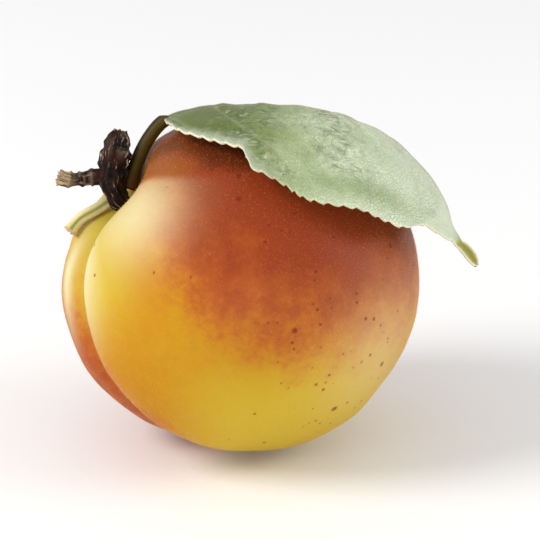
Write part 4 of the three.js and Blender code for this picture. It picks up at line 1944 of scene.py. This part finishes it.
        # The cream margin is brighter near the base and towards the tip: painted rim light over its own
        # pale edge.
        pale_rim = 0.35 + 0.65 * fall(length, 0.24, 0.34) + 0.65 * smoothstep(length, 0.6, 0.75)
        # Darker, more saturated green along the back of the midrib and in a band inside the front
        # margin.
        by_rib = self.rib_green * smoothstep(-offset, -1.0, 1.0) * smoothstep(length, 0.5, 0.75)
        by_margin = bell(to_margin - 3.2, 2.0) * smoothstep(length, 0.34, 0.5) * fall(length, 0.6, 0.85)
        fields = {
            "vein": vein,
            "net": net,
            # Painted highlight band along the lifted front margin.
            "lip": lip_zone * fall(to_margin, 0.35 * lip_width, 1.3 * lip_width),
            "edge": bell(to_margin, self.edge_width) * pale_rim,
            # Painted light: the blade grows paler towards the tip.
            "wax_and_light": smoothstep(length, 0.15, 0.8),
            # Painted shade over the blade's base by the stalk.
            "near_stalk": self.stalk_shade * fall(length, 0.14, 0.4),
            "deep_green": np.maximum(by_rib, self.margin_green * by_margin * to_front),
            "wrinkled": rough_zone * inside,
            "tip": smoothstep(length, 0.89, 0.925),
            "midrib": bell(reach, 0.3) * (1.0 - 0.6 * smoothstep(length, 0.3, 0.9)),
            "offset": offset,
            "length": length_mm,
        }
        top = middle + (half + relief + ridge)[..., None] * normal
        bottom = middle + (relief - half - self.under_vein_height * vein)[..., None] * normal
        return top, bottom, fields

    def build_blade(self, stance: Stance, material: bpy.types.Material) -> bpy.types.Object:
        """Builds the dressed blade as one thin closed sheet.

        Args:
            stance: Where the construction frame stands.
            material: Its finish.

        Returns:
            The piece.
        """
        top, bottom, fields = self.layers
        points = np.vstack([top.reshape(-1, 3), bottom.reshape(-1, 3)])
        thing = make_object("leaf_blade", stance.place(points), self.blade_faces())
        doubled = {name: np.tile(values.ravel(), 2) for name, values in fields.items()}
        keep_plan(thing, doubled.pop("offset"), doubled.pop("length"))
        keep_fields(thing, {**doubled, "upper": np.repeat([1.0, 0.0], len(points) // 2)})
        finish_piece(thing, material, Slot.LEAF, "leaf")
        return thing

    def blade_faces(self) -> list[tuple[int, ...]]:
        """Quads of both faces and the rim between them.

        Returns:
            Corner numbers of each quad.
        """
        width = 2 * self.columns + 1
        under = (self.stations + 1) * width
        faces = []
        for station in range(self.stations):
            left = station * width
            right = left + width - 1
            for here in range(left, right):
                beyond = here + width
                faces.append((here, here + 1, beyond + 1, beyond))
                faces.append((under + here, under + beyond, under + beyond + 1, under + here + 1))
            faces.append((left, left + width, under + left + width, under + left))
            faces.append((right, under + right, under + right + width, right + width))
        for column in range(width - 1):
            last = self.stations * width + column
            faces.append((column, under + column, under + column + 1, column + 1))
            faces.append((last, last + 1, under + last + 1, under + last))
        return faces

    def build_stalk(self, stance: Stance, material: bpy.types.Material) -> bpy.types.Object:
        """Builds the dressed stalk, which runs on as the rib under the blade.

        Args:
            stance: Where the construction frame stands.
            material: Its finish.

        Returns:
            The piece.
        """
        tube = Tube(self.midrib, rings=240, sides=40)
        along, angle = tube.grid
        _, up, _ = self.midrib_frame(tube.along)
        taper = blend(self.stalk_radius, self.rib_end_radius, smoothstep(along, self.blade_start, 0.9))
        covered = smoothstep(along, self.blade_start - 0.02, self.blade_start + 0.02)
        channel = bell(np.sin((angle - self.channel_turn) / 2.0), self.channel_width)
        strands = self.strand_height * tube.strands(9.0, 0.5, seed=61)
        foot = self.stalk_foot * fall(along, 0.0, 0.05) - self.foot_tuck * fall(along, -0.012, 0.008)
        hollow = self.channel_depth * (1.0 - covered) * channel
        radius = taper * (self.stalk_waist + foot - hollow) + strands
        radius = np.minimum(radius, self.under_blade(along, angle, taper, covered))
        points, faces = tube.build(radius, first=up)
        thing = make_object("leaf_stalk", stance.place(points), faces)
        keep_fields(thing, {
            "channel": np.append(channel + 0.0 * along, [0.5, 0.5]),
            "end": np.append(0.0 * radius + fall(along, 0.0, 0.04), [1.0, 0.0]),
        })
        finish_piece(thing, material, Slot.STALK, "leaf")
        return thing

    def under_blade(self, along: Array, angle: Array, taper: Array, covered: Array) -> Array:
        """Largest rib radius that stays inside the blade.

        Args:
            along: Share of the midrib's length of each ring.
            angle: Angle of each side from the blade's upper side.
            taper: Plain radius of each ring.
            covered: How far each ring lies under the blade.

        Returns:
            The limit, one number for each ring and side.
        """
        twist = self.twist((along - self.blade_start) / (1.0 - self.blade_start))
        keel = np.where(np.sin(angle) > 0.0, self.front_keel, self.back_keel)
        keel = blend(keel, self.tip_keel, twist)
        height = blend(taper * 1.1, 0.05, covered)
        rise = np.cos(angle) + np.abs(np.sin(angle)) * np.tan(keel) * covered
        return height / np.maximum(rise, 0.04)

    def build_glands(self, stance: Stance, material: bpy.types.Material) -> bpy.types.Object:
        """Builds the small glands that tip the teeth of both margins.

        Args:
            stance: Where the construction frame stands.
            material: Its finish.

        Returns:
            The piece.
        """
        count = np.arange(1, self.teeth - 2) + self.tooth_point
        reach = 1.0 + self.tooth_crowding
        rest = np.sqrt(reach**2 - 4.0 * self.tooth_crowding * count / self.teeth)
        peaks = (reach - rest) / (2.0 * self.tooth_crowding)
        stations = np.round(peaks * self.stations).astype(int)
        top, bottom, _ = self.layers
        rim = (top + bottom)[stations][:, [0, -1]].reshape(-1, 3) / 2.0
        places = stance.place(rim)
        seeds = make_object("leaf_glands", places, [])
        values = {"Radius": self.gland_radius * MILLIMETRE, "Seed": 7, "Material": material}
        thing = grown(seeds, beads_tree(), values)
        finish_piece(thing, material, Slot.LEAF, "leaf")
        return thing


@dataclass
class Down:
    """Fine short hairs of the fruit's skin."""

    hairs: int = 42000
    length: float = 0.22
    radius: float = 0.009
    lean: float = 0.6
    seed: int = 71

    def build(self, skin: bpy.types.Object, material: bpy.types.Material) -> bpy.types.Object:
        """Builds the dressed down on the skin.

        Args:
            skin: The finished skin that it grows on.
            material: Its finish.

        Returns:
            The piece.
        """
        area = sum(polygon.area for polygon in skin.data.polygons)
        mesh = skin.data.copy()
        mesh.materials.clear()
        ground = bpy.data.objects.new("fruit_down", mesh)
        bpy.context.scene.collection.objects.link(ground)
        values = {
            "Density": self.hairs / area,
            "Length": self.length * MILLIMETRE,
            "Radius": self.radius * MILLIMETRE,
            "Lean": self.lean,
            "Clearance": 2.0 * self.length * MILLIMETRE,
            "Seed": self.seed,
            "Material": material,
        }
        thing = grown(ground, down_tree(), values)
        finish_piece(thing, material, Slot.SKIN, "fruit")
        return thing


# ---- Studio ----


@dataclass(frozen=True)
class Softbox:
    """One soft area light."""

    name: str
    place: Place
    size: float
    power: float
    tint: tuple[float, float, float]

    def build(self, target: Vector) -> None:
        """Hangs the light so that it faces the target.

        Args:
            target: Place that it faces.
        """
        light = bpy.data.lights.new(self.name, "AREA")
        light.shape = "DISK"
        light.size = self.size
        light.energy = self.power
        light.color = self.tint
        lamp = bpy.data.objects.new(self.name, light)
        lamp.location = Vector(self.place)
        lamp.rotation_euler = (target - lamp.location).to_track_quat("-Z", "Y").to_euler()
        bpy.context.scene.collection.objects.link(lamp)


@dataclass(frozen=True)
class Studio:
    """Pale floor, soft lights and the camera."""

    sensor: float = 36.0
    distance: float = 0.62
    frame_width: float = 0.0715
    floor_reach: float = 6.0
    paper: Colour = (0.92, 0.915, 0.91, 1.0)
    paper_relief: float = 0.00003
    room: Colour = (0.95, 0.97, 1.0, 1.0)
    room_strength: float = 0.64
    softboxes: tuple[Softbox, ...] = (
        Softbox("key_light", (-0.46, -0.12, 0.40), 0.32, 2.6, (1.0, 0.98, 0.95)),
        Softbox("low_fill", (0.06, -0.5, 0.06), 0.3, 0.8, (1.0, 0.98, 0.95)),
        Softbox("side_light", (0.46, -0.02, 0.22), 0.3, 0.85, (1.0, 0.97, 0.95)),
    )

    def build(self, low: Vector, high: Vector) -> None:
        """Builds the studio round the object.

        Args:
            low: Lowest corner of the object.
            high: Highest corner of the object.
        """
        middle = (low + high) / 2.0
        self.build_floor()
        self.build_world()
        for softbox in self.softboxes:
            softbox.build(middle)
        self.build_camera(middle)
        scene = bpy.context.scene
        scene.view_settings.view_transform = "Standard"
        scene.view_settings.look = "None"

    def build_floor(self) -> None:
        """Lays the pale floor."""
        square = np.array([[-1.0, -1.0, 0.0], [1.0, -1.0, 0.0], [1.0, 1.0, 0.0], [-1.0, 1.0, 0.0]])
        floor = make_object("studio_floor", self.floor_reach * square, [(0, 1, 2, 3)])
        material, sheet, shader, place = new_material("studio_paper")
        grain = sheet.bump(sheet.noise(place, 900.0, 3.0, 0.6), self.paper_relief)
        sheet.fill(shader, {
            "Base Color": self.paper, "Normal": grain, "Roughness": 0.6, "Specular IOR Level": 0.3,
        })
        floor.data.materials.append(material)
        floor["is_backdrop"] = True

    def build_world(self) -> None:
        """Sets the even light of the room."""
        world = bpy.data.worlds.new("studio_room")
        world.use_nodes = True
        background = world.node_tree.nodes["Background"]
        background.inputs["Color"].default_value = self.room
        background.inputs["Strength"].default_value = self.room_strength
        bpy.context.scene.world = world

    def build_camera(self, middle: Vector) -> None:
        """Puts up the camera.

        Args:
            middle: Place that it looks at.
        """
        camera = bpy.data.cameras.new("studio_camera")
        camera.sensor_width = self.sensor
        camera.lens = self.sensor * self.distance / self.frame_width
        camera.clip_start = 0.01
        camera.clip_end = 50.0
        stand = bpy.data.objects.new("studio_camera", camera)
        back = Vector((0.0, -math.cos(VIEW_TILT), math.sin(VIEW_TILT)))
        stand.location = middle + back * self.distance
        stand.rotation_euler = (-back).to_track_quat("-Z", "Y").to_euler()
        bpy.context.scene.collection.objects.link(stand)
        bpy.context.scene.camera = stand


# ---- Assembly ----


def stance_from_frame(fruit: Fruit) -> Stance:
    """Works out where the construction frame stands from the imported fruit's box.

    Args:
        fruit: The fruit whose plain form the solid has.

    Returns:
        The stance.
    """
    directions = fruit.directions()
    plain = Stance(VIEW_TILT, np.zeros(3)).place(directions * fruit.form.radius(directions)[:, None])
    low, high = (np.array(corner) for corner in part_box("fruit"))
    middle = (low + high) / 2.0 - (plain.min(axis=0) + plain.max(axis=0)) / 2.0
    rise = high[2] - plain[:, 2].max()
    return Stance(VIEW_TILT, np.array([middle[0], middle[1], rise]) / MILLIMETRE)


def main() -> None:
    logging.basicConfig(level=logging.INFO, format="%(name)s: %(message)s")
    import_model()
    solid_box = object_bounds()
    effects = Effects.build()
    form = FruitForm()
    fruit = Fruit(form)
    stance = stance_from_frame(fruit)
    LOG.info("stance shift %s", np.round(stance.shift, 3))
    skin = fruit.build(stance, SkinFinish().build(effects))
    fuzz = PlainFinish("skin_down", colour(240, 206, 150), colour(226, 176, 112), 0.6)
    Down().build(skin, fuzz.build(effects))
    Spur().build(stance, BarkFinish().build(effects))
    pale_stalk = StalkFinish(
        "pale_stalk", colour(234, 218, 164), colour(140, 144, 56), colour(206, 164, 120), 0.3
    )
    StalkStump(form).build(stance, pale_stalk.build(effects))
    leaf = Leaf(form)
    leaf.build_blade(stance, LeafFinish().build(effects))
    # The leaf's stalk is coloured dark olive: painted shade over its own green.
    shaded_green_stalk = StalkFinish(
        "shaded_green_stalk", colour(78, 62, 8), colour(40, 29, 3), colour(92, 56, 20), 0.16
    )
    leaf.build_stalk(stance, shaded_green_stalk.build(effects))
    gland = PlainFinish("tooth_gland", colour(214, 190, 130), colour(176, 120, 76), 0.4)
    leaf.build_glands(stance, gland.build(effects))
    Studio().build(*solid_box)
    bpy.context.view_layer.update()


if __name__ == "__main__":
    main()
